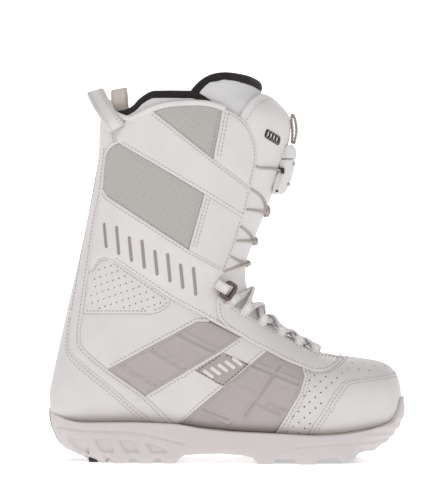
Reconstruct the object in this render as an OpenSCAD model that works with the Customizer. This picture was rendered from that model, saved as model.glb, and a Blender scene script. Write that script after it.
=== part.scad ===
// Snowboard boot, right foot: lace-up shell boot with a removable padded liner.
// Millimetres. +X points to the toe, +Z up, and -Y is the outer side of the foot.
// The origin lies on the ground under the middle of the sole.

/* [Sole] */
// Length of the outsole from heel to toe
sole_length = 313; // [300:1:320]
// Half of the outsole's greatest width, at the ball of the foot
sole_half_width = 58; // [57:0.5:60]
// Depth of the pocket in the outsole that holds the foam midsole
midsole_depth = 14; // [10:1:16]

/* [Shell] */
// Thickness of the outer panels
panel_t = 2.0; // [1.6:0.1:2.0]
// Thickness of the backing layer behind the panels
backing_t = 1.8; // [1.4:0.1:1.8]
// Gap between neighbouring panels
seam_gap = 0.5; // [0.3:0.1:1]

/* [Liner] */
// Thickness of the liner's foam
liner_t = 8.0; // [6:0.5:9]
// Thickness of the footbed inside the liner
footbed_t = 4.0; // [3:0.5:5]

/* [Lacing] */
// Diameter of the upper lace
upper_lace_d = 2.2; // [1.8:0.1:2.6]
// Diameter of the lower lace
lower_lace_d = 3.6; // [3:0.1:4]

/* [Hardware] */
// Diameter of the two cross pins in the lace lock
lock_pin_d = 3.0; // [2.5:0.1:3.5]
// Diameter of the ankle rings' bar
ring_bar = 4.0; // [3:0.5:4.5]
// Width of the pull loops' webbing
loop_w = 15; // [12:1:16]

/* [Hidden] */
$fn = 32;
LAYER_GAP = 0.2;                    // clearance between neighbouring layers
BACKING_IN = panel_t + LAYER_GAP;   // depth of the backing layer's outer face
LINER_IN = BACKING_IN + backing_t + 2 * LAYER_GAP;
CAVITY_IN = LINER_IN + liner_t;
RING_POINTS = 28;                   // points round one cross-section

// Colours
WHITE = [0.87, 0.85, 0.85];
SOLE_WHITE = [0.84, 0.81, 0.81];
TEXTILE = [0.70, 0.68, 0.66];
RIBBED = [0.70, 0.65, 0.65];
BINDING = [0.13, 0.10, 0.10];
LACE_GREY = [0.62, 0.58, 0.55];
BRONZE = [0.30, 0.24, 0.22];
FOAM = [0.80, 0.78, 0.74];
BEIGE = [0.78, 0.72, 0.66];

// Cross-sections of the upper, from the toe round the instep to above the collar.
// Each row: front point x, z, back point x, z, half-width, front and back squareness,
// place of the greatest width between back and front, and sideways shift.
SECTIONS = [
    [153.4,  57.0, 152.6,  48.0,  7.0, 2.2, 2.6, 0.45, 5.0],
    [151.8,  68.0, 150.0,  38.0, 22.0, 2.2, 3.0, 0.42, 5.0],
    [147.0,  78.5, 144.0,  31.5, 34.0, 2.2, 3.4, 0.40, 4.6],
    [138.0,  85.0, 133.0,  27.0, 43.0, 2.2, 3.8, 0.40, 4.0],
    [122.0,  88.5, 116.0,  23.5, 50.0, 2.2, 4.0, 0.40, 3.0],
    [101.5,  91.5,  94.0,  21.0, 53.5, 2.2, 4.0, 0.40, 2.0],
    [ 83.0,  95.5,  68.0,  20.5, 54.5, 2.2, 4.0, 0.40, 1.0],
    [ 66.0, 103.5,  42.0,  22.0, 53.0, 2.2, 4.0, 0.40, 0.0],
    [ 50.0, 113.5,  14.0,  23.5, 50.0, 2.2, 4.0, 0.40, -0.5],
    [ 36.5, 124.5, -16.0,  26.0, 47.0, 2.2, 4.0, 0.40, -0.8],
    [ 26.5, 136.0, -50.0,  29.5, 44.5, 2.2, 3.8, 0.40, -0.6],
    [ 20.5, 146.0, -88.0,  31.0, 43.0, 2.2, 3.6, 0.42, -0.3],
    [ 18.0, 155.0, -126.0, 31.0, 42.0, 2.2, 3.4, 0.44, 0.0],
    [ 17.3, 161.0, -150.0, 36.0, 42.0, 2.2, 3.2, 0.46, 0.0],
    [ 17.4, 166.0, -155.5, 54.0, 42.5, 2.2, 3.0, 0.48, 0.0],
    [ 17.8, 170.5, -153.0, 72.0, 43.5, 2.2, 2.8, 0.50, 0.0],
    [ 18.6, 175.0, -149.0, 91.0, 45.0, 2.2, 2.7, 0.50, 0.0],
    [ 20.0, 180.0, -144.0, 113.0, 46.0, 2.2, 2.6, 0.50, 0.0],
    [ 23.0, 188.0, -138.5, 138.0, 47.5, 2.2, 2.5, 0.50, 0.0],
    [ 28.2, 201.0, -131.0, 169.0, 49.0, 2.2, 2.5, 0.50, 0.0],
    [ 35.5, 219.0, -123.0, 206.0, 51.0, 2.2, 2.4, 0.50, 0.0],
    [ 43.5, 240.0, -117.0, 238.5, 53.0, 2.2, 2.4, 0.50, 0.0],
    [ 51.5, 264.0, -112.5, 264.5, 54.5, 2.2, 2.4, 0.50, 0.0],
    [ 57.2, 287.0, -111.3, 287.0, 55.5, 2.2, 2.4, 0.50, 0.0],
    [ 56.0, 302.0, -110.0, 301.0, 55.5, 2.2, 2.4, 0.50, 0.0],
    [ 47.5, 313.0, -106.0, 313.0, 55.0, 2.2, 2.4, 0.50, 0.0],
    [ 38.5, 321.0, -103.0, 322.0, 54.5, 2.2, 2.4, 0.50, 0.0],
    [ 36.0, 337.0, -101.0, 338.0, 54.0, 2.2, 2.4, 0.50, 0.0]
];

// Line where the upper meets the sole, heel to toe: x, z
SOLE_LINE = [[-157, 46.5], [-150, 41.5], [-138, 37], [-123, 35], [-80, 35.5], [-44, 34],
    [-23, 30.5], [6, 27.7], [38, 26.5], [75, 24.8], [100, 26], [124, 29.8], [141, 34.2],
    [147, 38], [151.5, 48], [153.5, 55.5], [160, 62]];

// Edge of the lacing opening, from the collar down the shin and along the instep: x, z
EYESTAY = [[-0.7, 306], [11.7, 299], [19.6, 290], [24.9, 277], [26.2, 265], [24.4, 253],
    [21.3, 239], [17.4, 221], [12.5, 205.5], [8.6, 192.5], [3.7, 179], [-0.7, 168.5],
    [-4.2, 158.5], [-4.0, 149], [2, 141], [11.7, 133.5], [22, 126.5], [34.5, 118.5],
    [48.5, 110.5], [64.5, 101.5], [80, 94.5], [91, 92], [101.5, 90]];

// Top edge of the shell round the collar, heel to shin: x, z
COLLAR = [[-120, 313], [-104, 312], [-100, 304], [-92, 299.5], [-84, 298], [-76, 301],
    [-66, 305.5], [-54, 309], [-41, 310.6], [-23.5, 311], [-12, 309.5], [-0.7, 306]];

// Panel outlines in side view: x, z
COLLAR_PANEL = [[-64, 305], [-43, 310], [-20, 310.5], [-3.5, 304], [-11.5, 262.5]];
STRAP = [[-67, 306], [-11.5, 262.5], [30, 230.5], [30, 203], [-19, 232.8], [-93, 277.6],
    [-98, 279], [-97, 288.5], [-84, 299]];
SIDE_WINDOW = [[-101, 271], [-94, 277], [-19, 232.8], [-32.7, 184.5], [-104.5, 231],
    [-108.5, 238], [-107, 250]];
QUARTER_UPPER = [[-19, 232.8], [30, 203], [30, 151], [-3, 168.5], [-32.7, 184.5]];
QUARTER_BAND = [[-115, 250], [-108.5, 238], [-104.5, 231], [-32.7, 184.5], [-3, 168.5],
    [40, 146], [30, 101], [12.5, 109.5], [-48, 142], [-100, 177], [-111, 178.5], [-120, 170],
    [-127, 177]];
FRONT_PANEL = [[-3.5, 304], [-11.5, 262.5], [30, 230.5], [40, 300], [-0.7, 306]];
VENT_PANEL = [[-100, 177], [-48, 142], [-53, 134], [-66, 129], [-125, 129], [-120, 160],
    [-115, 172], [-109, 177.5]];
BACKSTAY = [[-112, 276], [-105, 276], [-107.5, 250], [-108.5, 238], [-115, 206], [-120, 170],
    [-125.5, 129], [-127.5, 110], [-124, 99], [-103, 81], [-70, 57], [-48, 34], [-48, 20],
    [-64, 20], [-64, 36], [-132, 93], [-136.5, 105], [-135, 125], [-124, 196], [-114.5, 246]];
BACK_AREA = [[-200, 120], [-200, 276], [-112, 276], [-114.5, 246], [-124, 196], [-135, 125],
    [-135, 100]];
COLLAR_BACK = [[-200, 276], [-105, 276], [-98, 279], [-97, 288.5], [-84, 299], [-104, 320],
    [-200, 320]];
HEEL_AREA = [[-200, 10], [-200, 140], [-124, 196], [-135, 125], [-136.5, 105], [-132, 93],
    [-64, 36], [-64, 10]];
QUARTER_LOWER = [[-131, 180], [-131, 110], [-48, 34], [-23.5, 49], [13, 108.5], [13, 180]];
RIB_PANEL_REAR = [[-103, 81], [-25.5, 122.5], [-15, 122.5], [12.5, 109], [-6, 97], [-71, 58]];
MIDFOOT_BAND = [[12.5, 109], [35, 96.5], [-23.5, 49], [-48, 30], [-48, 34], [-71, 58], [-6, 97]];
MIDFOOT_PATCH = [[-27.5, 81], [-2.7, 97], [20, 86], [-3.5, 67.5]];
RIB_PANEL_FRONT = [[35, 96.5], [62.5, 84.5], [67, 76], [62.5, 61], [38, 20], [-43, 20],
    [-43, 34.5], [-23.5, 49]];
VAMP_EYESTAY = [[-9, 141], [-6.5, 124.5], [12.5, 109.5], [35, 97.5], [65, 83.5], [79, 79.5],
    [90, 81.5], [103, 90], [103, 130], [40, 165], [-9, 165]];
VAMP = [[35, 10], [38, 20], [62.5, 61], [67, 76], [65, 83.5], [79, 79.5], [90, 81.5], [103, 90],
    [103, 130], [200, 130], [200, 10]];
TOE_CAP = [[70, 10], [70, 25], [83, 45], [99.5, 68.5], [108, 72.5], [124, 75.5], [143, 78],
    [160, 82], [170, 10]];
TONGUE = [[33, 319.5], [24, 311.5], [12, 291], [4, 262], [0, 240], [-5, 215], [-10, 190],
    [-14, 170], [-16, 150], [-8, 134], [10, 121], [30, 108.5], [60, 92], [80, 86], [92, 86],
    [98, 96], [98, 120], [60, 160], [90, 200], [90, 330], [40, 322]];
LINER = [[-200, 300], [-92, 300], [-80, 309.5], [-69, 318.3], [-60, 319.8], [-26, 318],
    [-8, 307], [3, 296], [10, 280], [12, 262], [8, 235], [0, 212], [-4, 196], [100, 196],
    [170, 100], [170, -10], [-200, -10]];
LINER_TONGUE = [[-27, 300], [-27, 317], [-17.5, 326], [-7.5, 332], [5.5, 333.5], [24, 330.5],
    [33, 326], [60, 322], [60, 200], [-14, 200], [-20, 240]];
TONGUE_LABEL = [[35, 289.5], [47.7, 282.4], [46.4, 275], [32.8, 282]];

// Wedge of soft material at the ankle that gives when the cuff leans forward
FLEX_FOOT = [-220, 102.5, 14];      // x, z of a point on the wedge's lower face, and its slope
FLEX_CUFF = [-141, 124.5, 20.5];    // the same for its upper face

// Laces. Upper rows: section where a run starts, crosses and ends. Lower rows: section, angle.
UPPER_ROWS = [[20.9, 19.75, 20.1], [19.4, 18.1, 18.7], [17.7, 14.9, 16.2]];
UPPER_EDGE = 42;                    // angle of the eyestay's edge from the front
UPPER_END = [[21.6, 45.5], [22.1, 33]];   // where the lace's end leaves the eyestay, and bends
LOCK_HOOK = [47.5, 17.2, 252];      // where it meets the hook on the lock's side
LOWER_ROWS = [[11.7, 39], [10.4, 32.7], [9.2, 26.5], [8.1, 21.5], [7.15, 19], [6.3, 18]];

// Smooth value between table rows: a Catmull-Rom curve through them
function row(t, i) = t[max(0, min(len(t) - 1, i))];
function between(t, v) =
    let (i = min(len(t) - 2, max(0, floor(v))), f = v - i,
        a = row(t, i - 1), b = row(t, i), c = row(t, i + 1), d = row(t, i + 2))
    b + 0.5 * f * (c - a + f * (2 * a - 5 * b + 4 * c - d + f * (3 * (b - c) + d - a)));

// Point of one cross-section at angle u from its front, inset by d
function bow(a, n) = sign(a) * pow(abs(a), 2 / n);
function section_point(s, u, d) =
    let (front = [s[0], s[1]], back = [s[2], s[3]], span = norm(front - back),
        dir = (front - back) / span, mid = back + dir * span * s[7],
        n = cos(u) >= 0 ? s[5] : s[6],
        reach = cos(u) >= 0 ? span * (1 - s[7]) - d : span * s[7] - d,
        p = mid + dir * reach * bow(cos(u), n))
    [p[0], s[8] + (s[4] - d) * bow(sin(u), n), p[1]];
function on_shell(v, u, d) = section_point(between(SECTIONS, v), u, d);

// Closed solid skinned over a list of rings of points
module skin(rings) {
    n = len(rings[0]);
    m = len(rings);
    points = [for (r = rings) for (p = r) p];
    sides = [for (i = [0 : m - 2]) for (j = [0 : n - 1]) for (k = [0, 1])
        let (a = i * n + j, b = i * n + (j + 1) % n)
        k == 0 ? [a, b + n, b] : [a, a + n, b + n]];
    first = [[for (j = [0 : n - 1]) j]];
    last = [[for (j = [n - 1 : -1 : 0]) (m - 1) * n + j]];
    polyhedron(points, concat(sides, first, last), convexity = 6);
}

// Solid body of the upper, inset by d
module body_form(d) {
    start = lookup(d, [[0, 0], [2, 1.1], [4, 1.5], [12.5, 2.7], [18, 3.2]]);
    rows = concat([start], [for (i = [ceil(start + 0.3) : len(SECTIONS) - 1]) i]);
    skin([for (v = rows) [for (j = [0 : RING_POINTS - 1])
        on_shell(v, 360 * j / RING_POINTS, d)]]);
}

// Tube along a list of points
module tube(path, d, sides = 8) {
    m = len(path);
    function dir(i) = let (a = path[max(0, i - 1)], b = path[min(m - 1, i + 1)])
        (b - a) / norm(b - a);
    function across(t) = let (c = cross(t, [0.31, 0.17, 0.93])) c / norm(c);
    skin([for (i = [0 : m - 1]) let (t = dir(i), a = across(t), b = cross(t, a))
        [for (k = [0 : sides - 1])
            path[i] + d / 2 * (a * cos(360 * k / sides) + b * sin(360 * k / sides))]]);
}

// Flat band along a list of points, w wide along the direction wide, t thick
module band(path, wide, w, t) {
    m = len(path);
    function dir(i) = let (a = path[max(0, i - 1)], b = path[min(m - 1, i + 1)])
        (b - a) / norm(b - a);
    skin([for (i = [0 : m - 1]) let (c = cross(wide, dir(i)), up = c / norm(c))
        [for (k = [[1, -1], [-1, -1], [-1, 1], [1, 1]])
            path[i] + wide * w / 2 * k[0] + up * t / 2 * k[1]]]);
}

// Side-view areas
module half_plane(p, above) {
    translate([p[0], p[1]]) rotate(p[2]) translate([-100, above ? 0 : -900]) square([900, 900]);
}
module foot_area() { half_plane(FLEX_FOOT, false); }
module cuff_area() {
    difference() {
        half_plane(FLEX_CUFF, true);
        half_plane(FLEX_FOOT, false);
    }
}
module flex_area() {
    difference() {
        square(900, center = true);
        offset(delta = LAYER_GAP) foot_area();
        offset(delta = LAYER_GAP) cuff_area();
    }
}
module above_sole() {
    polygon(concat(SOLE_LINE, [[160, 400], [-200, 400], [-200, 46.5]]));
}
module lacing_area() {
    polygon(concat(EYESTAY, [[160, 96], [200, 96], [200, 400], [-0.7, 400]]));
}
module below_collar() {
    polygon(concat([[-200, 313]], COLLAR, [[-0.7, 306], [200, 306], [200, -50], [-200, -50]]));
}
module shell_area() {
    difference() {
        intersection() { above_sole(); below_collar(); }
        lacing_area();
    }
}

// Everything under a side-view area, on one side or right across
REACH = 100;                        // farther out than any half-width
HALF_GAP = 0.15;                    // half of the gap between the two sides' panels
module across_side(outer) {
    mirror([0, outer ? 0 : 1, 0])
        translate([0, -HALF_GAP, 0]) rotate([90, 0, 0]) linear_extrude(REACH) children();
}
module right_across() {
    translate([0, REACH, 0]) rotate([90, 0, 0]) linear_extrude(2 * REACH) children();
}

// A layer of the upper between two depths, cut to a side-view area
module layer(d0, d1) {
    resize([0, 0, 0]) intersection() {
        difference() { body_form(d0); body_form(d1); }
        right_across() children();
    }
}
module side_layers(d0, d1) {
    resize([0, 0, 0]) intersection() {
        difference() { body_form(d0); body_form(d1); }
        union() {
            across_side(true) children();
            across_side(false) children();
        }
    }
}
module trimmed(area) { offset(delta = -seam_gap / 2) intersection() { shell_area(); children(); } }

// Smooth plan outline of the sole, inset by d
SOLE_PLAN = [[0, 0, 0], [0.006, 12, 0], [0.03, 27, 0], [0.085, 37, 0], [0.17, 43, 0],
    [0.28, 45.5, -0.2], [0.40, 46, -0.5], [0.52, 49, -0.6], [0.63, 54, -0.4], [0.74, 57.5, 0],
    [0.83, 56.5, 0.6], [0.90, 51, 1.6], [0.955, 40, 2.6], [0.985, 26, 3.4], [0.997, 12, 4],
    [1, 0, 4]];
PLAN_HALF_WIDTH = 57.5;             // greatest half-width in the list above
module sole_plan(d = 0) {
    n = len(SOLE_PLAN) - 1;
    f = (sole_length - 2 * d) / sole_length;
    side = [for (i = [0 : 0.5 : n]) 
        let (p = between(SOLE_PLAN, i), w = p[1] * sole_half_width / PLAN_HALF_WIDTH)
        [(p[0] - 0.5) * sole_length * f, w > 1 ? max(1, w - d) : 0, p[2]]];
    polygon(concat([for (p = side) [p[0], p[2] + p[1]]],
        [for (i = [len(side) - 2 : -1 : 1]) [side[i][0], side[i][2] - side[i][1]]]));
}
function sole_z(x) = lookup(x, SOLE_LINE);

// Slice of the sole under the upper: inset, drop of its top, thickness, heel and toe ends
module sole_slice(d, top_drop, thickness, x0, x1) {
    intersection() {
        right_across() polygon(concat(
            [for (x = [x0 : 6 : x1]) [x, sole_z(x) - top_drop]],
            [for (x = [x1 : -6 : x0]) [x, sole_z(x) - top_drop - thickness]]));
        linear_extrude(120) sole_plan(d);
    }
}

// Side outline of the sole: heel corner, lugs, arch, lugs, toe bumper and the top line
SOLE_SIDE = concat([[-156.5, 46], [-155.8, 38], [-153.8, 29.5], [-149.4, 19], [-145.9, 13.6],
    [-141.5, 8.4], [-129.6, 4.6], [-123, 4.2], [-119.5, 0], [-107.5, 0], [-104.5, 4.4],
    [-100.5, 4.4], [-97.5, 0], [-86.5, 0], [-83, 4.4], [-79, 4.4], [-75.5, 0], [-65, 0],
    [-61.5, 4.4], [-57.5, 4.4], [-54, 0], [-44.5, 0], [-41, 4.5], [-37, 7], [-23.5, 8.4],
    [-6, 8.7], [11.7, 7.6], [22.5, 5.7], [26, 0], [39.5, 0], [43, 4.4], [58, 4.4], [61.5, 0],
    [76.5, 0], [80, 5], [95.5, 5.4], [99, 2.2], [110, 3.4], [115, 9], [124, 10.3], [127.5, 8.4],
    [134, 10.8], [137, 15], [141.5, 16.5], [143.5, 20.5], [147.5, 23], [148.5, 27], [152, 30],
    [152.8, 34.5], [155.5, 38], [156.5, 46.5], [154.8, 55.5]],
    [for (i = [14 : -1 : 1]) SOLE_LINE[i]]);

// Rubber treads set in the sole's underside: x of the heel end and the toe end
TREAD_HEEL = [-124, -43];
TREAD_FOREFOOT = [27, 126];
TREAD_T = 7;                        // thickness of a tread
TREAD_INSET = 11;                   // distance in from the sole's outline
TREAD_FIT = 0.2;                    // clearance round a tread
TOE_RISE = [100, 0.16];             // x where a tread's top starts to rise, and its slope
GROOVES = [[-105.5, 6], [-84, 6], [-62.5, 6], [42, 15], [79, 17]];   // x of a groove, and its width
GROOVE_DEPTH = 2.5;
TOE_LIFT = [[90, -1], [102, 2], [112, 5], [125, 9], [140, 12], [140, -1]];
module tread_profile(ends, clearance, grooved) {
    c = clearance;
    difference() {
        polygon([[ends[0] - c, -1], [ends[1] + c, -1],
            [ends[1] + c, TREAD_T + c + max(0, ends[1] - TOE_RISE[0]) * TOE_RISE[1]],
            [min(ends[1], TOE_RISE[0]), TREAD_T + c], [ends[0] - c, TREAD_T + c]]);
        if (grooved) {
            translate([-200, -2]) square([400, 2]);
            for (g = GROOVES) translate([g[0], -2]) square([g[1], 2 + GROOVE_DEPTH]);
            polygon(TOE_LIFT);
        }
    }
}
module tread_solid(ends, clearance, grooved) {
    intersection() {
        right_across() tread_profile(ends, clearance, grooved);
        linear_extrude(60) sole_plan(TREAD_INSET - clearance);
    }
}

// Pocket in the outsole for the lasting board, the midsole and the shank
POCKET_INSET = 7;                   // distance in from the sole's outline
POCKET_X = [-138, 132];             // heel end and toe end
POCKET_FIT = 0.3;                   // clearance round the board and the midsole
BOARD_T = 2.6;                      // thickness of the lasting board
MIDSOLE_DROP = BOARD_T + 2 * LAYER_GAP;
SHANK_X = [-98, 32];                // heel end and toe end of the steel shank
SHANK_W = 18;
SHANK_T = 1.8;
module pocket_slice(top_drop, thickness) {
    sole_slice(POCKET_INSET + POCKET_FIT, top_drop, thickness, POCKET_X[0] + 1, POCKET_X[1] - 1);
}

// Scooped recesses along the heel's sides: x of the heel end, lower z, length
RECESSES = [[-136, 9, 23], [-113.5, 10, 21], [-92, 10, 21], [-70.5, 11, 22]];
RECESS_DEPTH = 1.5;
module outsole() {
    color(SOLE_WHITE) difference() {
        intersection() {
            right_across() polygon(SOLE_SIDE);
            linear_extrude(120) sole_plan();
        }
        sole_slice(POCKET_INSET, -2, midsole_depth + 2, POCKET_X[0], POCKET_X[1]);
        tread_solid(TREAD_HEEL, TREAD_FIT, false);
        tread_solid(TREAD_FOREFOOT, TREAD_FIT, false);
        for (r = RECESSES) intersection() {
            right_across() polygon([[r[0] - 2, 21.5], [r[0] + r[2] - 6, 20.5],
                [r[0] + r[2], r[1]], [r[0] + 10, r[1]], [r[0] + 2, r[1] + 6]]);
            difference() {
                linear_extrude(60) sole_plan(-2);
                translate([0, 0, -1]) linear_extrude(62) sole_plan(RECESS_DEPTH);
            }
        }
    }
}
module tread_heel() { color(BINDING) tread_solid(TREAD_HEEL, 0, true); }
module tread_forefoot() { color(BINDING) tread_solid(TREAD_FOREFOOT, 0, true); }
module lasting_board() { color(FOAM) pocket_slice(LAYER_GAP, BOARD_T); }
module midsole() {
    color(FOAM) difference() {
        pocket_slice(MIDSOLE_DROP, midsole_depth - MIDSOLE_DROP - LAYER_GAP);
        shank_solid(LAYER_GAP);
    }
}
module shank_solid(clearance) {
    c = clearance;
    top = MIDSOLE_DROP - c;
    low = MIDSOLE_DROP + SHANK_T + c;
    intersection() {
        right_across() polygon(concat(
            [for (x = [SHANK_X[0] : 6 : SHANK_X[1] + 2]) [x, sole_z(x) - top]],
            [for (x = [SHANK_X[1] + 2 : -6 : SHANK_X[0]]) [x, sole_z(x) - low]]));
        translate([SHANK_X[0] - c, -SHANK_W / 2 - c, 0])
            cube([SHANK_X[1] - SHANK_X[0] + 2 * c, SHANK_W + 2 * c, 60]);
    }
}
module shank() { color("silver") shank_solid(-0.1); }

// Upper: backing layer
module tongue_area() { polygon(TONGUE); }
module tongue_slot() { offset(delta = 0.5) tongue_area(); }
module foot_backing() {
    color(FOAM) layer(BACKING_IN, BACKING_IN + backing_t) difference() {
        intersection() { shell_area(); foot_area(); }
        tongue_slot();
    }
}
module cuff_backing() {
    color(FOAM) layer(BACKING_IN, BACKING_IN + backing_t) difference() {
        intersection() { shell_area(); cuff_area(); }
        tongue_slot();
    }
}
module flex_shell() {
    color(WHITE) layer(0, BACKING_IN + backing_t) difference() {
        intersection() { shell_area(); flex_area(); }
        tongue_slot();
    }
}

// Upper: outer panels
module on_cuff() { trimmed() intersection() { cuff_area(); children(); } }
module on_foot() { trimmed() intersection() { foot_area(); children(); } }
module collar_panels() { color(TEXTILE) side_layers(0, panel_t) on_cuff() polygon(COLLAR_PANEL); }
module diagonal_straps() { color(WHITE) side_layers(0, panel_t) on_cuff() polygon(STRAP); }
module side_windows() { color(TEXTILE) side_layers(0, panel_t) on_cuff() polygon(SIDE_WINDOW); }
module front_panels() { color(WHITE) side_layers(0, panel_t) on_cuff() polygon(FRONT_PANEL); }
module quarter_upper() { color(WHITE) side_layers(0, panel_t) on_cuff() polygon(QUARTER_UPPER); }
module quarter_bands() {
    color(WHITE) side_layers(0, panel_t) on_cuff() difference() {
        polygon(QUARTER_BAND);
        polygon(BACKSTAY);
        polygon(BACK_AREA);
    }
}
module vent_panels() { color(WHITE) side_layers(0, panel_t) on_cuff() polygon(VENT_PANEL); }
module backstay_upper() { color(WHITE) side_layers(0, panel_t) on_cuff() polygon(BACKSTAY); }
module backstay_lower() { color(WHITE) side_layers(0, panel_t) on_foot() polygon(BACKSTAY); }
module back_panel() { color(WHITE) layer(0, panel_t) on_cuff() polygon(BACK_AREA); }
module collar_back() { color(WHITE) layer(0, panel_t) on_cuff() polygon(COLLAR_BACK); }
module heel_counter() { color(WHITE) layer(0, panel_t) on_foot() polygon(HEEL_AREA); }
module quarter_lower() {
    color(WHITE) side_layers(0, panel_t) on_foot() difference() {
        polygon(QUARTER_LOWER);
        polygon(BACKSTAY);
        polygon(VENT_PANEL);
        polygon(RIB_PANEL_REAR);
        polygon(MIDFOOT_BAND);
        polygon(RIB_PANEL_FRONT);
        polygon(VAMP_EYESTAY);
        polygon(HEEL_AREA);
    }
}
module rib_panels_rear() { color(RIBBED) side_layers(0, panel_t) on_foot() polygon(RIB_PANEL_REAR); }
module rib_panels_front() { color(RIBBED) side_layers(0, panel_t) on_foot() polygon(RIB_PANEL_FRONT); }
module midfoot_bands() {
    color(WHITE) side_layers(0, panel_t) on_foot() difference() {
        polygon(MIDFOOT_BAND);
        offset(delta = -2) polygon(MIDFOOT_PATCH);
    }
}
module midfoot_patches() {
    color(TEXTILE) side_layers(0, panel_t) on_foot() offset(delta = -2.5) polygon(MIDFOOT_PATCH);
}
module vamp_eyestays() { color(WHITE) side_layers(0, panel_t) on_foot() polygon(VAMP_EYESTAY); }
module vamp() {
    color(WHITE) layer(0, panel_t) on_foot() difference() {
        polygon(VAMP);
        polygon(TOE_CAP);
        polygon(RIB_PANEL_FRONT);
    }
}
module toe_cap() { color(WHITE) layer(0, panel_t) on_foot() polygon(TOE_CAP); }

// Tongue of the shell
module tongue_layer() {
    color(WHITE) layer(BACKING_IN, BACKING_IN + backing_t) intersection() {
        tongue_area();
        children();
    }
}
module lower_tongue() { tongue_layer() foot_area(); }
module flex_tongue() { tongue_layer() flex_area(); }
module outer_tongue() { tongue_layer() cuff_area(); }
module tongue_label() {
    color(BINDING) resize([0, 0, 0]) intersection() {
        difference() { body_form(BACKING_IN - 1.2); body_form(BACKING_IN - LAYER_GAP); }
        across_side(true) polygon(TONGUE_LABEL);
    }
}

// Liner
module liner_layer() { color(FOAM) layer(LINER_IN, CAVITY_IN) intersection() {
    polygon(LINER);
    offset(delta = -0.4) above_sole();
    children();
} }
module liner_foot() { liner_layer() foot_area(); }
module flex_liner() { liner_layer() flex_area(); }
module liner_cuff() { liner_layer() difference() { cuff_area(); binding_area(); } }
BINDING_W = 5;                      // width of the bindings on the liner's edges
module binding_area() {
    intersection() {
        difference() { polygon(LINER); offset(delta = -BINDING_W) polygon(LINER); }
        polygon([[-94, 250], [-94, 340], [20, 340], [20, 290], [-8, 290], [-60, 300]]);
    }
}
module collar_binding() {
    color(BINDING) layer(LINER_IN, CAVITY_IN) intersection() {
        offset(delta = -LAYER_GAP) binding_area();
        cuff_area();
    }
}
FOOTBED_X = [-134, 126];            // heel end and toe end
FOOTBED_Z = liner_t + 2;            // height of its underside over the sole line
FOOTBED_FIT = 0.3;
module footbed() {
    color(BINDING) resize([0, 0, 0]) intersection() {
        body_form(CAVITY_IN + FOOTBED_FIT);
        right_across() polygon(concat(
            [for (x = [FOOTBED_X[0] : 10 : FOOTBED_X[1]]) [x, sole_z(x) + FOOTBED_Z + footbed_t]],
            [[FOOTBED_X[1], 0], [FOOTBED_X[0], 0]]));
    }
}
TONGUE_FOAM = 4.6;                  // thickness of the liner tongue's foam
TONGUE_FIT = 0.4;                   // its clearance inside the liner
module liner_tongue_form() {
    resize([0, 0, 0]) union() {
        intersection() {
            difference() {
                body_form(LINER_IN + TONGUE_FIT);
                body_form(CAVITY_IN + TONGUE_FIT + TONGUE_FOAM);
            }
            right_across() intersection() {
                offset(delta = -2 * TONGUE_FIT) polygon(LINER_TONGUE);
                translate([2 * TONGUE_FIT, 0]) difference() {
                    polygon([[-27, 323], [-27, 340], [100, 340], [100, 100], [-40, 190]]);
                    offset(delta = 2 * TONGUE_FIT) polygon(LINER);
                }
            }
        }
        intersection() {
            difference() {
                body_form(CAVITY_IN + TONGUE_FIT);
                body_form(CAVITY_IN + TONGUE_FIT + TONGUE_FOAM);
            }
            right_across() polygon(LINER_TONGUE);
        }
    }
}
module tongue_binding_area() {
    intersection() {
        difference() {
            polygon(LINER_TONGUE);
            offset(delta = -BINDING_W) polygon(LINER_TONGUE);
        }
        translate([-40, 317]) square([90, 30]);
    }
}
module liner_tongue() {
    color(WHITE) resize([0, 0, 0]) difference() {
        liner_tongue_form();
        right_across() tongue_binding_area();
    }
}
module liner_tongue_binding() {
    color(BINDING) resize([0, 0, 0]) intersection() {
        liner_tongue_form();
        right_across() offset(delta = -LAYER_GAP) tongue_binding_area();
    }
}

// Laces
module mirrored_pair() {
    children();
    mirror([0, 1, 0]) children();
}
module upper_lace() {
    color(LACE_GREY) {
        for (r = UPPER_ROWS, s = [[-1, 0.2], [1, upper_lace_d + 0.8]])
            tube([on_shell(r[0], s[0] * UPPER_EDGE, -1.4),
                on_shell(r[0] * 0.7 + r[1] * 0.3, s[0] * 28, -1.6 - s[1] / 3),
                on_shell(r[0] * 0.3 + r[1] * 0.7, s[0] * 12, -1.6 - s[1]),
                on_shell(r[1], 0, -1.6 - s[1]),
                on_shell(r[2] * 0.3 + r[1] * 0.7, -s[0] * 12, -1.6 - s[1]),
                on_shell(r[2] * 0.7 + r[1] * 0.3, -s[0] * 28, -1.6 - s[1] / 3),
                on_shell(r[2], -s[0] * UPPER_EDGE, -1.4)], upper_lace_d);
        mirrored_pair() tube([on_shell(UPPER_END[0][0], UPPER_END[0][1], -1.4),
            on_shell(UPPER_END[1][0], UPPER_END[1][1], -1.8), LOCK_HOOK], upper_lace_d);
    }
}
LACE_OUT = lower_lace_d / 2 + 2;    // height of the lower lace's centre over the eyestay
module lower_lace() {
    n = len(LOWER_ROWS);
    color(WHITE) for (s = [[-1, 0], [1, lower_lace_d + 0.6]])
        tube([for (k = [0 : n - 1]) let (r = LOWER_ROWS[k], side = s[0] * (k % 2 == 0 ? 1 : -1),
                q = LOWER_ROWS[min(n - 1, k + 1)], mid = -2.6 - s[1])
            each concat([on_shell(r[0], side * (r[1] - 2), -LACE_OUT)],
                k < n - 1 ? [on_shell((r[0] * 0.7 + q[0] * 0.3), side * r[1] * 0.55, mid),
                    on_shell((r[0] + q[0]) / 2, 0, mid),
                    on_shell((r[0] * 0.3 + q[0] * 0.7), -side * q[1] * 0.55, mid)] : [])],
            lower_lace_d);
}
function side_view(p) = [p[0], p[2]];
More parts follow.
